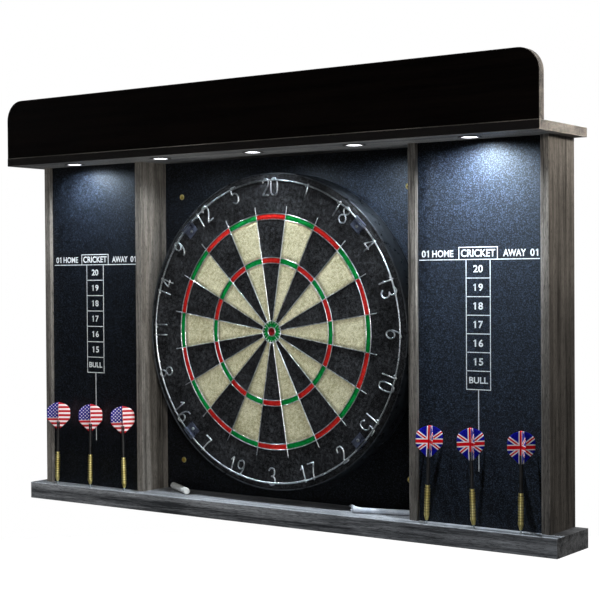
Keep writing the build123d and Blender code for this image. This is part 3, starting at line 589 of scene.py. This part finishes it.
def battery_sleeve(name):
    """Plain printed sleeve of a round cell: a dark body with a copper-toned end band."""
    finish = Finish(name, 0.5, coat_weight=0.4)
    low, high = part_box("battery_cells")
    share = finish.between(finish.axes()["X"], low.x, high.x)
    scuffs = finish.noise(300, detail=4)
    body = finish.ramp(scuffs, (0.35, rgb(26, 28, 32)), (0.65, rgb(44, 47, 52)))
    finish.set("Base Color", finish.mix(finish.between(share, 0.74, 0.75), body, rgb(184, 116, 62)))
    finish.rough(scuffs, 0.25, 0.4)
    finish.bump(scuffs, 0.03, 0.4)
    return finish.material


# ---------------------------------------------------------------- mesh tools

def make_piece(name, mesh, material, smooth=True, body=None, replaces=()):
    """Turn a bmesh into a named piece with a material, a body to ride on and the nodes it stands for."""
    bmesh.ops.recalc_face_normals(mesh, faces=mesh.faces)
    data = bpy.data.meshes.new(name)
    mesh.to_mesh(data)
    mesh.free()
    data.materials.append(material)
    data.polygons.foreach_set("use_smooth", [smooth] * len(data.polygons))
    piece = bpy.data.objects.new(name, data)
    bpy.context.scene.collection.objects.link(piece)
    if body:
        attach(piece, body)
    if replaces:
        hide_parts(*replaces)
    return piece


def skin(mesh, rows):
    """Faces between neighbouring rows of vertices."""
    for here, ahead in zip(rows, rows[1:]):
        for k in range(len(here) - 1):
            mesh.faces.new((here[k], here[k + 1], ahead[k + 1], ahead[k]))


def lathe(mesh, profile_mm, origin, segments, axis=(0, -1, 0), side=(1, 0, 0), wobble_mm=None):
    """Turn a closed (radius, height) outline about an axis. side is a direction square to the axis."""
    axis, side = Vector(axis).normalized(), Vector(side).normalized()
    other = axis.cross(side)
    rings = []
    for index in range(segments):
        angle = 2 * pi * index / segments
        way = side * cos(angle) + other * sin(angle)
        ring = []
        for radius_mm, height_mm in profile_mm:
            grown_mm = radius_mm + (wobble_mm(angle, height_mm) if wobble_mm else 0.0)
            ring.append(mesh.verts.new(Vector(origin) + (way * grown_mm + axis * height_mm) * MM))
        rings.append(ring + ring[:1])
    skin(mesh, rings + rings[:1])


def smooth_line(points, steps, closed=False):
    """Catmull-Rom line through points, with a number of steps on each span."""
    count = len(points)
    line = []
    for index in range(count if closed else count - 1):
        if closed:
            before, start, end, after = (points[(index + shift) % count] for shift in (-1, 0, 1, 2))
        else:
            start, end = points[index], points[index + 1]
            before = points[index - 1] if index else start * 2 - end
            after = points[index + 2] if index + 2 < count else end * 2 - start
        square = 2 * before - 5 * start + 4 * end - after
        cube = 3 * start - before - 3 * end + after
        for step in range(steps):
            t = step / steps
            line.append(0.5 * (2 * start + (end - before) * t + square * t ** 2 + cube * t ** 3))
    if not closed:
        line.append(points[-1].copy())
    return line


def tube(mesh, line, radius, sides=8, closed=False, taper=1.0):
    """Round wire along a line of points, with domed ends where it is open."""
    count = len(line)
    rings = []
    normal = None
    for index, point in enumerate(line):
        before = line[index - 1] if closed or index else point
        after = line[(index + 1) % count] if closed or index < count - 1 else point
        along = (after - before).normalized()
        if normal is None:
            guide = Vector((0, 1, 0)) if abs(along.y) < 0.9 else Vector((1, 0, 0))
            normal = along.cross(guide).normalized()
        else:
            normal = (normal - along * normal.dot(along)).normalized()
        other = along.cross(normal)
        size = radius * (1 + (taper - 1) * index / max(1, count - 1))
        ways = [normal * cos(2 * pi * k / sides) + other * sin(2 * pi * k / sides) for k in range(sides)]
        rings.append([mesh.verts.new(point + way * size) for way in ways])
    if closed:
        shift = min(range(sides), key=lambda k: (rings[-1][0].co - rings[0][k].co).length)
        rings.append(rings[0][shift:] + rings[0][:shift])
    else:
        for ring, end, inner, size in ((rings[0], line[0], line[1], radius),
                                       (rings[-1], line[-1], line[-2], radius * taper)):
            tip = mesh.verts.new(end + (end - inner).normalized() * size * 0.5)
            for k in range(sides):
                mesh.faces.new((ring[k], ring[(k + 1) % sides], tip))
    skin(mesh, [ring + ring[:1] for ring in rings])


def plate(mesh, outline, thickness, to_world):
    """Flat plate from a grid outline: rows of (height, low, high), carried into place by to_world(u, v, w).

    Gives each vertex's own place (u, v) on the plate.
    """
    columns = 14
    places, sheets = {}, []
    for side in (-0.5, 0.5):
        rows = []
        for height, low, high in outline:
            across = [low + (high - low) * column / columns for column in range(columns + 1)]
            rows.append([mesh.verts.new(to_world(u, height, side * thickness)) for u in across])
            places.update(zip(rows[-1], ((u, height) for u in across)))
        skin(mesh, rows)
        sheets.append(rows)
    front, back = sheets
    for row in (0, -1):
        skin(mesh, (front[row], back[row]))
        skin(mesh, [[line[row] for line in sheet] for sheet in sheets])
    return places


def on_board(radius_mm, angle, proud_mm=0.0):
    """Point on the board's face: a radius and an angle from +X, standing proud towards the viewer."""
    flat = Vector((cos(angle), 0, sin(angle))) * radius_mm * MM
    return flat + Vector((0, board_face - proud_mm * MM, 0))


def circle_line(radius_mm, proud_mm, count):
    """Points round a circle on the board's face."""
    return [on_board(radius_mm, 2 * pi * k / count, proud_mm) for k in range(count)]


# ---------------------------------------------------------------- the dart board

def dyed_field(mesh, inner_mm, outer_mm, start, end, rng):
    """One dyed field of the face: a thin tile with a slightly uneven top, from one radius to another."""
    proud_mm, uneven_mm, sunk_mm, gap_mm, grid_mm = 0.18, 0.05, 0.2, 0.25, 6
    inner_mm, outer_mm = inner_mm + gap_mm, outer_mm - gap_mm
    across = max(2, round((outer_mm - inner_mm) / grid_mm))
    turns = max(3, round((end - start) * outer_mm / grid_mm))
    top, low = [], []
    for step in range(turns + 1):
        top_row, low_row = [], []
        for level in range(across + 1):
            radius = inner_mm + (outer_mm - inner_mm) * level / across
            trim = gap_mm / radius
            angle = start + trim + (end - start - 2 * trim) * step / turns
            height_mm = proud_mm + rng.uniform(-uneven_mm, uneven_mm)
            top_row.append(mesh.verts.new(on_board(radius, angle, height_mm)))
            low_row.append(mesh.verts.new(on_board(radius, angle, -sunk_mm)))
        top.append(top_row)
        low.append(low_row)
    skin(mesh, top)
    skin(mesh, low)
    for end_row in (0, -1):
        skin(mesh, (top[end_row], low[end_row]))
        skin(mesh, [[row[end_row] for row in rows] for rows in (top, low)])


def build_board_fields(finishes):
    """Cream, red and green fields and the bull. The black fields are the sisal body itself."""
    rng = random.Random(20)
    meshes = {colour: bmesh.new() for colour in ("cream", "red", "green", "bull")}
    sector = 2 * pi / sector_count
    for index in range(sector_count):
        start = pi / 2 - sector / 2 - index * sector
        band = "green" if index % 2 else "red"
        fields = [(double_inner_mm, double_outer_mm, band), (treble_inner_mm, treble_outer_mm, band)]
        if index % 2:
            fields.append((treble_outer_mm, double_inner_mm, "cream"))
            fields.append((outer_bull_mm, treble_inner_mm, "cream"))
        for inner, outer, colour in fields:
            dyed_field(meshes[colour], inner, outer, start, start + sector, rng)
    for index in range(4):
        dyed_field(meshes["green"], inner_bull_mm, outer_bull_mm, index * pi / 2, (index + 1) * pi / 2, rng)
    edge_mm = inner_bull_mm
    domed = [(0.2, -0.2), (edge_mm, -0.2), (edge_mm, 0.18), (edge_mm * 0.9, 0.3), (0.2, 0.3)]
    lathe(meshes["bull"], domed, (0, board_face, 0), 48)
    for colour, mesh in meshes.items():
        make_piece(f"board_fields_{colour}", mesh, finishes[colour], body="dartboard")


def build_sisal_body(finishes):
    """Round black sisal body with softened edges, and a blind hole for the hanging screw at its back."""
    depth_mm, radius_mm = (sisal_high.y - sisal_low.y) / MM, sisal_high.x / MM
    hole_mm, hole_depth_mm, core_mm = 2.55, 12.5, 0.2
    back_edge_mm, front_edge_mm, rings_across = 0.5, 0.8, 24
    profile = [(hole_mm, 0), (radius_mm - back_edge_mm, 0), (radius_mm, back_edge_mm),
               (radius_mm, depth_mm - front_edge_mm)]
    face_mm = radius_mm - front_edge_mm
    step_mm = (core_mm - face_mm) / rings_across
    profile += [(face_mm + step_mm * ring, depth_mm) for ring in range(rings_across + 1)]
    profile += [(core_mm, hole_depth_mm), (hole_mm, hole_depth_mm)]
    mesh = bmesh.new()
    lathe(mesh, profile, (0, sisal_high.y, 0), 240)
    make_piece("board_sisal_body", mesh, finishes["black"], body="dartboard",
               replaces=("board_sisal",))


def build_rim(material):
    """Steel band round the board, with a groove near its back edge and its front edge rolled over."""
    depth_mm, outer_mm = (rim_high.y - rim_low.y) / MM, rim_high.x / MM
    roll_mm, corner_mm, groove_mm = 0.75, 0.4, 0.35
    profile = [(outer_mm - 2 * roll_mm, 0), (outer_mm - corner_mm, 0), (outer_mm, corner_mm),
               (outer_mm, 3.0), (outer_mm - groove_mm, 3.6), (outer_mm, 4.2)]
    for step in range(9):
        turn = pi * step / 8
        profile.append((outer_mm + roll_mm * (cos(turn) - 1), depth_mm + roll_mm * (sin(turn) - 1)))
    mesh = bmesh.new()
    lathe(mesh, profile, (0, rim_high.y, 0), 320)
    make_piece("board_steel_band", mesh, material, body="dartboard",
               replaces=("board_rim",))


def build_spider(material):
    """Round wires: six rings, twenty radials with raised tips, and short staples round the bull."""
    mesh = bmesh.new()
    radius = wire_radius_mm * MM
    rings = dict.fromkeys((double_outer_mm, double_inner_mm, treble_outer_mm, treble_inner_mm), (200, 1.0))
    rings.update({outer_bull_mm: (60, 1.0), inner_bull_mm: (40, 1.1)})
    for ring_mm, (count, thicker) in rings.items():
        tube(mesh, circle_line(ring_mm, wire_radius_mm, count), radius * thicker, closed=True)
    sector = 2 * pi / sector_count
    radial = [(outer_bull_mm - 3.6, 0.3), (outer_bull_mm - 0.4, wire_radius_mm * 1.2)]
    radial += [(reach, wire_radius_mm * 1.25) for reach in (40, 80, 103, 140, 166, radial_end_mm - 2)]
    radial.append((radial_end_mm, wire_radius_mm * 1.1))
    for index in range(sector_count):
        angle = sector / 2 + index * sector
        tube(mesh, [on_board(reach, angle, proud_mm) for reach, proud_mm in radial], radius * 0.92)
    for index in range(4):
        angle = pi / 4 + index * pi / 2
        staple = [on_board(reach, angle, 0.45) for reach in (inner_bull_mm, 9, 13, outer_bull_mm)]
        tube(mesh, staple, radius * 0.6)
    make_piece("scoring_wires", mesh, material, body="dartboard",
               replaces=("wire_spider",))


# Wire digits: smooth strokes, and the corners between strokes stay sharp. Half width 1, height 1.
digit_strokes = {
    0: [((-1, 0.25), (-1, 0.75), (-0.6, 0.97), (0, 1), (0.6, 0.97), (1, 0.75), (1, 0.25), (0.6, 0.03), (0, 0),
         (-0.6, 0.03))],
    1: [((-0.7, 0.78), (0, 1)), ((0, 1), (0, 0))],
    2: [((-0.9, 0.74), (-0.62, 0.95), (0, 1), (0.7, 0.94), (0.92, 0.72), (0.5, 0.45), (-0.95, 0)),
        ((-0.95, 0), (1, 0))],
    3: [((-0.9, 0.84), (-0.4, 0.98), (0.3, 1), (0.85, 0.9), (0.85, 0.66), (0.4, 0.54), (-0.1, 0.52)),
        ((-0.1, 0.52), (0.5, 0.49), (1, 0.36), (0.98, 0.12), (0.4, 0), (-0.4, 0), (-1, 0.14))],
    4: [((0.45, 0), (0.45, 1)), ((0.45, 1), (-1, 0.3)), ((-1, 0.3), (0.95, 0.3))],
    5: [((0.85, 1), (-0.7, 1)), ((-0.7, 1), (-0.85, 0.58)),
        ((-0.85, 0.58), (0.1, 0.63), (0.85, 0.5), (1, 0.26), (0.6, 0.04), (-0.2, 0), (-0.95, 0.13))],
    6: [((0.8, 0.98), (0.05, 0.92), (-0.65, 0.7), (-0.98, 0.32), (-0.6, 0.04), (0.2, 0), (0.9, 0.16),
         (0.85, 0.43), (0.2, 0.54), (-0.5, 0.47), (-0.92, 0.3))],
    7: [((-1, 1), (1, 1)), ((1, 1), (0.35, 0.55), (-0.1, 0))],
    8: [((0, 0.52), (0.75, 0.66), (0.82, 0.88), (0, 1), (-0.82, 0.88), (-0.75, 0.66), (0, 0.52), (0.9, 0.36),
         (0.95, 0.12), (0, 0), (-0.95, 0.12), (-0.9, 0.36))],
}
digit_strokes[9] = [tuple((-x, 1 - y) for x, y in digit_strokes[6][0])]
closed_digits = (0, 8)


def build_number_ring(material):
    """The loose ring, and the wire digits tacked inside it."""
    plane_y = (ring_low.y + ring_high.y) / 2
    ring_wire_mm = (ring_high.y - ring_low.y) / 2 / MM
    ring_mm = ring_high.x / MM - ring_wire_mm
    digit_wire_mm, half_width_mm, height_mm, half_step_mm = 1.05, 5.6, 24.0, 7.7
    top_mm = ring_mm + 2.4
    mesh = bmesh.new()
    ring_line = circle_line(ring_mm, (board_face - plane_y) / MM, 260)
    tube(mesh, ring_line, ring_wire_mm * MM, sides=10, closed=True)
    for place, number in enumerate(numbers):
        angle = pi / 2 - place * 2 * pi / sector_count
        way = -1 if number in upright_numbers else 1
        outward = Vector((cos(angle), 0, sin(angle)))
        rightward = Vector((sin(angle), 0, -cos(angle))) * way
        foot_mm = top_mm if way < 0 else top_mm - height_mm
        digits = [int(letter) for letter in str(number)]
        for order, digit in enumerate(digits):
            foot = outward * foot_mm + rightward * (2 * order - len(digits) + 1) * half_step_mm
            foot.y = plane_y / MM
            for stroke in digit_strokes[digit]:
                points = [(foot + rightward * x * half_width_mm + outward * way * y * height_mm) * MM
                          for x, y in stroke]
                closed = digit in closed_digits
                line = points if len(points) == 2 else smooth_line(points, 6, closed)
                tube(mesh, line, digit_wire_mm * MM, closed=closed)
    make_piece("number_ring_wire", mesh, material, body="number_ring",
               replaces=("number_ring",))


# ---------------------------------------------------------------- scoreboards

def flag_ones(data):
    """Give every plain upright stroke of a 1 in a text mesh the small flag at its top."""
    height = max(v.co.y for v in data.vertices)
    front, back = max(v.co.z for v in data.vertices), min(v.co.z for v in data.vertices)
    corners = ([data.vertices[k].co.x for k in face.vertices] for face in data.polygons)
    glyphs = []
    for low, high in sorted((min(xs), max(xs)) for xs in corners):
        if glyphs and low <= glyphs[-1][1]:
            glyphs[-1][1] = max(glyphs[-1][1], high)
        else:
            glyphs.append([low, high])
    grown = bmesh.new()
    grown.from_mesh(data)
    for low, high in glyphs:
        if high - low < 0.35 * height:
            middle, tip = (low + high) / 2, low - 0.17 * height
            outline = ((middle, 1.0), (tip, 0.84), (tip, 0.68), (middle, 0.8))
            rings = [[grown.verts.new((x, y * height, z)) for x, y in outline] for z in (front, back)]
            for ring in rings:
                grown.faces.new(ring)
            skin(grown, [ring + ring[:1] for ring in rings])
    grown.to_mesh(data)
    grown.free()


def label(mesh, words, x_span, z_span, front_y, proud_mm=0.12, sunk_mm=0.05):
    """Words in plain capitals, fitted to a span across and a span up, standing just proud of a board."""
    font = bpy.data.curves.new("label", "FONT")
    font.body = words
    font.offset = 0.02
    font.extrude = 0.01
    font.space_character = 1.12 if "1" in words else 1.0
    font.resolution_u = 4
    holder = bpy.data.objects.new("label", font)
    bpy.context.scene.collection.objects.link(holder)
    bpy.context.view_layer.update()
    data = bpy.data.meshes.new_from_object(holder.evaluated_get(bpy.context.evaluated_depsgraph_get()))
    if "1" in words:
        flag_ones(data)
    xs = [v.co.x for v in data.vertices]
    ys = [v.co.y for v in data.vertices]
    for v in data.vertices:
        x = x_span[0] + (v.co.x - min(xs)) / (max(xs) - min(xs)) * (x_span[1] - x_span[0])
        z = z_span[0] + (v.co.y - min(ys)) / (max(ys) - min(ys)) * (z_span[1] - z_span[0])
        y = front_y + (-proud_mm if v.co.z > 0 else sunk_mm) * MM
        v.co = (x, y, z)
    mesh.from_mesh(data)
    bpy.data.objects.remove(holder)
    bpy.data.curves.remove(font)
    bpy.data.meshes.remove(data)


# Painted marks of a scoreboard: heights above the bull, and places from the middle of the scoreboard
stroke_mm, heading_mm, heading_reach_mm, title_top_mm, title_reach_mm = 1.1, 100.0, 88.5, 116.5, 28.8
heading_words = (("CRICKET", -25.2, 25.2, 113.2), ("01", -84.5, -73.5, 112.6), ("HOME", -68.5, -36.5, 112.6),
                 ("AWAY", 36.5, 69.0, 112.6), ("01", 75.0, 86.0, 112.6))
heading_foot_mm, ladder_reach_mm, ladder_pitch_mm = 103.4, 18.2, 24.2
ladder_words = ("20", "19", "18", "17", "16", "15", "BULL")
centre_line_mm, centre_line_foot_mm = 1.3, 72.0


def build_scoreboard_marks(node, middle_mm, material):
    """Heading, ladder of numbers and centre line of one scoreboard."""
    front_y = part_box(node)[0].y
    half_mm, proud_mm, sunk_mm = stroke_mm / 2, 0.1, 0.05
    mesh = bmesh.new()

    def bar(x_low, x_high, z_low, z_high):
        low = Vector(((middle_mm + x_low) * MM, front_y - proud_mm * MM, z_low * MM))
        high = Vector(((middle_mm + x_high) * MM, front_y + sunk_mm * MM, z_high * MM))
        place = Matrix.Translation((low + high) / 2) @ Matrix.Diagonal((*(high - low), 1.0))
        bmesh.ops.create_cube(mesh, size=1.0, matrix=place)

    def words(text, x_low, x_high, z_low, z_high):
        x_span = ((middle_mm + x_low) * MM, (middle_mm + x_high) * MM)
        label(mesh, text, x_span, (z_low * MM, z_high * MM), front_y)

    bar(-heading_reach_mm, heading_reach_mm, heading_mm - half_mm, heading_mm + half_mm)
    bar(-title_reach_mm, title_reach_mm, title_top_mm - stroke_mm, title_top_mm)
    for text, x_low, x_high, top_mm in heading_words:
        words(text, x_low, x_high, heading_foot_mm, top_mm)
    ladder_low_mm = heading_mm - len(ladder_words) * ladder_pitch_mm
    for row, text in enumerate(ladder_words):
        line_mm = heading_mm - (row + 1) * ladder_pitch_mm
        bar(-ladder_reach_mm, ladder_reach_mm, line_mm - half_mm, line_mm + half_mm)
        half_width, half_height = (13.8, 4.2) if text == "BULL" else (7.0, 4.8)
        middle = line_mm + ladder_pitch_mm / 2
        words(text, -half_width, half_width, middle - half_height, middle + half_height)
    uprights = ((title_reach_mm, heading_mm, title_top_mm), (ladder_reach_mm, ladder_low_mm, heading_mm))
    for reach_mm, foot_mm, top_mm in uprights:
        bar(-reach_mm, stroke_mm - reach_mm, foot_mm, top_mm)
        bar(reach_mm - stroke_mm, reach_mm, foot_mm, top_mm)
    bar(-centre_line_mm / 2, centre_line_mm / 2, tray_high.z / MM + centre_line_foot_mm, ladder_low_mm)
    make_piece(f"{node}_markings", mesh, material, smooth=False, body="root")


# ---------------------------------------------------------------- darts

# Edge of a flight: heights above its foot and half widths, in millimetres
flight_edge = ((0, 3.0), (7.5, 10.6), (14.0, 17.0), (17.0, 18.3), (22.0, 18.5), (28.0, 18.4), (32.5, 17.4),
               (36.0, 14.6), (38.6, 11.0), (40.4, 6.8), (41.6, 2.4), (42.0, 0.6))


def flight_half_width(height):
    """Half width of a flight at a height above its foot."""
    for (low, low_width), (high, high_width) in zip(flight_edge, flight_edge[1:]):
        if height <= high:
            return low_width + (high_width - low_width) * (height - low) / (high - low)
    return flight_edge[-1][1]


def build_flight(dart, material):
    """Two crossed foil plates on the dart's leaning axis, each slightly curled at its outer edges."""
    joint = next(row for row in frame["joints"] if row["name"] == f"{dart}_lift")
    axis = Vector(joint["axis"]).normalized()
    corners = [v.co.copy() for v in frame["nodes"][f"{dart}_flight"].data.vertices]
    middle = sum(corners, Vector()) / len(corners)
    foot = middle + axis * min((corner - middle).dot(axis) for corner in corners)
    beside = Vector((axis.z, 0, -axis.x))
    into = axis.cross(beside)
    rows, thickness_mm, curl_mm = 26, 0.3, 0.35
    top, widest = flight_edge[-1][0], max(half for height, half in flight_edge)
    heights = [top * row / rows for row in range(rows + 1)]
    outline = [(height, -flight_half_width(height), flight_half_width(height)) for height in heights]
    mesh = bmesh.new()
    layout = mesh.loops.layers.uv.new("flight")
    places = {}
    for fin in (beside + into, beside - into):
        fin = fin.normalized()
        normal = fin.cross(axis)

        def to_world(u, v, w):
            curled = curl_mm * (u / widest) ** 3 + w
            return foot + (fin * u + axis * v + normal * curled) * MM

        places.update(plate(mesh, outline, thickness_mm, to_world))
    for face in mesh.faces:
        for loop in face.loops:
            u, v = places[loop.vert]
            loop[layout].uv = (u, v - top / 2)
    make_piece(f"{dart}_flight_foil", mesh, material, body=dart, replaces=(f"{dart}_flight",))


# ---------------------------------------------------------------- chalk and cloth

def build_chalk(material):
    """Used chalk stick: slightly uneven, worn round at one end and chipped at the other."""
    low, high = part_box("chalk_stick")
    length_mm, radius_mm, heading, steps = 72.0, 4.85, radians(-32.5), 30
    along = Vector((cos(heading), sin(heading), 0))
    start = (low + high) / 2 - along * length_mm / 2 * MM
    start.z = low.z + radius_mm * MM
    profile = [(0.1, 0.3), (radius_mm * 0.7, 0.2), (radius_mm * 0.93, 0.9)]
    profile += [(radius_mm, length_mm * (0.04 + 0.92 * step / steps)) for step in range(steps + 1)]
    profile += [(radius_mm * 0.96, length_mm - 1.0), (radius_mm * 0.8, length_mm - 0.4),
                (radius_mm * 0.45, length_mm - 0.9), (0.1, length_mm - 0.6)]

    def wobble_mm(angle, height_mm):
        far = height_mm / length_mm
        return sin(3 * angle + 40 * far) * 0.10 + sin(5 * angle - 17 * far) * 0.06

    mesh = bmesh.new()
    lathe(mesh, profile, start, 36, along, (0, 0, 1), wobble_mm)
    make_piece("chalk_stick_worn", mesh, material, body="chalk_stick",
               replaces=("chalk_stick",))


# The rolled cloth: its length, and the first and last radius and the pitch of its turns
cloth_length_mm, roll_start_mm, roll_end_mm, roll_pitch_mm = 88.0, 0.75, 3.7, 0.62
last_turn = (roll_end_mm - roll_start_mm) / roll_pitch_mm * 2 * pi


def roll_radius_mm(turn, far_mm):
    """Radius of the roll at a turn in radians and a distance from its flared end, with a few lumps."""
    flare = 1 + 0.42 * max(0.0, 1 - far_mm / 12) ** 1.5
    lumps = 1 + 0.035 * sin(far_mm * 0.45 + turn * 0.7) + 0.02 * sin(far_mm * 1.3 + turn)
    return (roll_start_mm + roll_pitch_mm * turn / (2 * pi)) * flare * lumps


def build_cloth(material):
    """Cotton cloth rolled into a tight stick, flared and frayed at its left end."""
    low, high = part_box("cleaning_cloth")
    heading = radians(16)
    along = Vector((cos(heading), sin(heading), 0))
    beside = Vector((-sin(heading), cos(heading), 0))
    start = (low + high) / 2 - along * cloth_length_mm / 2 * MM
    clear_mm, steps_per_turn, rows, slant_mm, thickness_mm = 0.3, 26, 44, 1.6, 0.36
    floor_z = tray_high.z + clear_mm * MM
    around = int(last_turn / (2 * pi) * steps_per_turn)

    def on_roll(turn, far_mm):
        """Point of the roll over its start: its middle lies just clear of the tray all along."""
        radius = roll_radius_mm(turn, far_mm) * MM
        point = start + beside * cos(turn) * radius
        middle_z = floor_z + (roll_radius_mm(last_turn, far_mm) * 1.02 + 0.1) * MM
        point.z = middle_z + sin(turn) * radius
        return point

    mesh = bmesh.new()
    grid = []
    for row in range(rows + 1):
        far_mm = cloth_length_mm * row / rows
        slant = slant_mm * {0: 1, rows: -1}.get(row, 0)
        shares = [step / around for step in range(around + 1)]
        grid.append([
            mesh.verts.new(on_roll(last_turn * share, far_mm) + along * (far_mm + slant * share) * MM)
            for share in shares
        ])
    skin(mesh, grid)
    cloth = make_piece("cleaning_cloth_roll", mesh, material, body="cleaning_cloth",
                       replaces=("cleaning_cloth",))
    thicken = cloth.modifiers.new("thickness", "SOLIDIFY")
    thicken.thickness = thickness_mm * MM
    thicken.offset = 0
    threads = build_fringe(material, on_roll, along, beside, floor_z + clear_mm * MM)


def build_fringe(material, on_roll, along, beside, lowest_z):
    """Loose threads at the flared end of the roll, bent at random and kept off the tray."""
    rng = random.Random(7)
    thread_count, thread_mm, root_mm = 46, 0.16, 0.6
    fringe = bmesh.new()
    for _ in range(thread_count):
        turn = rng.uniform(0.3, 1.0) * last_turn
        root = on_roll(turn, 0)
        out = Vector((0, 0, 1)) * sin(turn) + beside * cos(turn)
        reach = rng.uniform(2.0, 4.2) * MM
        way = (-along * rng.uniform(0.5, 1.0) + out * rng.uniform(-0.1, 0.5)).normalized()
        bend = Vector((rng.uniform(-1, 1), rng.uniform(-1, 1), rng.uniform(-0.3, 1))) * 0.35
        points = [root + along * root_mm * MM, root + way * reach * 0.4]
        points.append(root + (way + bend).normalized() * reach)
        for point in points:
            point.z = max(point.z, lowest_z)
        tube(fringe, smooth_line(points, 3), thread_mm * MM, sides=5, taper=0.5)
    return make_piece("cleaning_cloth_fringe", fringe, material, body="cleaning_cloth")


# ---------------------------------------------------------------- everything together

add_camera()
add_lights()
add_floor()

taupe_dark, taupe_light = rgb(48, 45, 42), rgb(142, 137, 131)
grey_dark, grey_light = rgb(54, 56, 60), rgb(176, 179, 184)
espresso = (rgb(1, 0, 0), rgb(13, 8, 6))
# Three shades of each dye, its flecks, and the fleck share
dyes = {
    "black": (rgb(1, 1, 1), rgb(14, 14, 15), rgb(72, 74, 78), rgb(60, 62, 66), 0.02),
    "cream": (rgb(132, 127, 90), rgb(208, 204, 170), rgb(238, 235, 206), rgb(46, 42, 24), 0.17),
    "bull": (rgb(60, 4, 8), rgb(120, 14, 22), rgb(160, 34, 40), rgb(40, 2, 4), 0.12),
    "red": (rgb(130, 8, 8), rgb(208, 30, 26), rgb(236, 70, 60), rgb(70, 4, 6), 0.13),
    "green": (rgb(0, 74, 28), rgb(0, 138, 56), rgb(20, 172, 86), rgb(0, 34, 12), 0.13),
}
sisal_finishes = {dye: sisal(f"sisal_{dye}", *tones) for dye, tones in dyes.items()}
finishes = {
    "grey_oak_laminate": laminate("laminate_upright", "Z", taupe_dark, taupe_light),
    "espresso_laminate": laminate("laminate_espresso", "X", grey_dark, taupe_light, espresso, shine=0.03),
    "black_speckled_board": speckled_board("black_speckled_board"),
    "raw_wood": raw_wood("raw_wood", "Z"),
    "zinc_steel": metal("zinc_steel", rgb(150, 152, 154), rgb(196, 198, 200), 0.34),
    # The last colour of the brass is painted shade in its grooves.
    "brass": metal("brass", rgb(214, 196, 118), rgb(240, 228, 160), 0.42, 0.03, rgb(58, 44, 14)),
    "black_plastic": plastic("black_plastic", rgb(12, 12, 13), rgb(34, 34, 36), 0.38),
    "lit_lens": glowing_lens("lit_lens"),
    "circuit_board": circuit_board("circuit_board"),
    "wire_insulation": plastic("wire_insulation", rgb(20, 20, 21), rgb(40, 40, 42), 0.45),
    "battery_sleeve": battery_sleeve("battery_sleeve"),
    "red_plastic": plastic("red_plastic", rgb(150, 16, 18), rgb(186, 30, 30), 0.32),
    "backing_board": particle_board("backing_board"),
    "sisal": sisal_finishes["black"],
    "black_steel_band": plastic("black_steel_band", rgb(28, 31, 35), rgb(62, 68, 75), 0.3, 900, 0.05),
    "bright_wire": metal("bright_wire", rgb(168, 176, 182), rgb(226, 232, 236), 0.28),
    "black_rubber": plastic("black_rubber", rgb(14, 14, 14), rgb(32, 32, 32), 0.7),
    "flight_stars": flight_stars("flight_stars"),
    "flight_crosses": flight_crosses("flight_crosses"),
    "chalk": chalk_finish("chalk_dust"),
    "white_cloth": cotton("white_cloth"),
}
node_finishes = {
    "header_shelf": laminate("laminate_shelf", "X", grey_dark, taupe_light, espresso),
    "bottom_tray": laminate("laminate_tray", "X", grey_dark, grey_light),
    "fascia_blocks": raw_wood("raw_wood_across", "X"),
    # Ring clips: dark steel drawn as a non-metal in a lighter blue-grey; the lightness and tint are a painted
    # highlight.
    "ring_clips": plastic("dark_steel_painted_highlight", rgb(36, 40, 52), rgb(84, 92, 112), 0.28),
    "led_cans": plastic("lamp_bezel", rgb(70, 68, 66), rgb(112, 108, 104), 0.35),
}
for row in frame["record"]["subparts"]:
    node = frame["nodes"][row["node"]]
    material = node_finishes.get(row["node"], finishes[row["material_slot"]])
    node.data.materials.clear()
    node.data.materials.append(material)

build_sisal_body(sisal_finishes)
build_board_fields(sisal_finishes)
build_rim(finishes["black_steel_band"])
build_spider(finishes["bright_wire"])
build_number_ring(finishes["bright_wire"])
white_print = white_paint("white_print")
for node, middle_mm in (("scoreboard_left", -340.0), ("scoreboard_right", 340.0)):
    build_scoreboard_marks(node, middle_mm, white_print)
for side, slot in (("left", "flight_stars"), ("right", "flight_crosses")):
    for index in (1, 2, 3):
        build_flight(f"{side}_dart_{index}", finishes[slot])
build_chalk(finishes["chalk"])
build_cloth(finishes["white_cloth"])

bpy.context.view_layer.update()
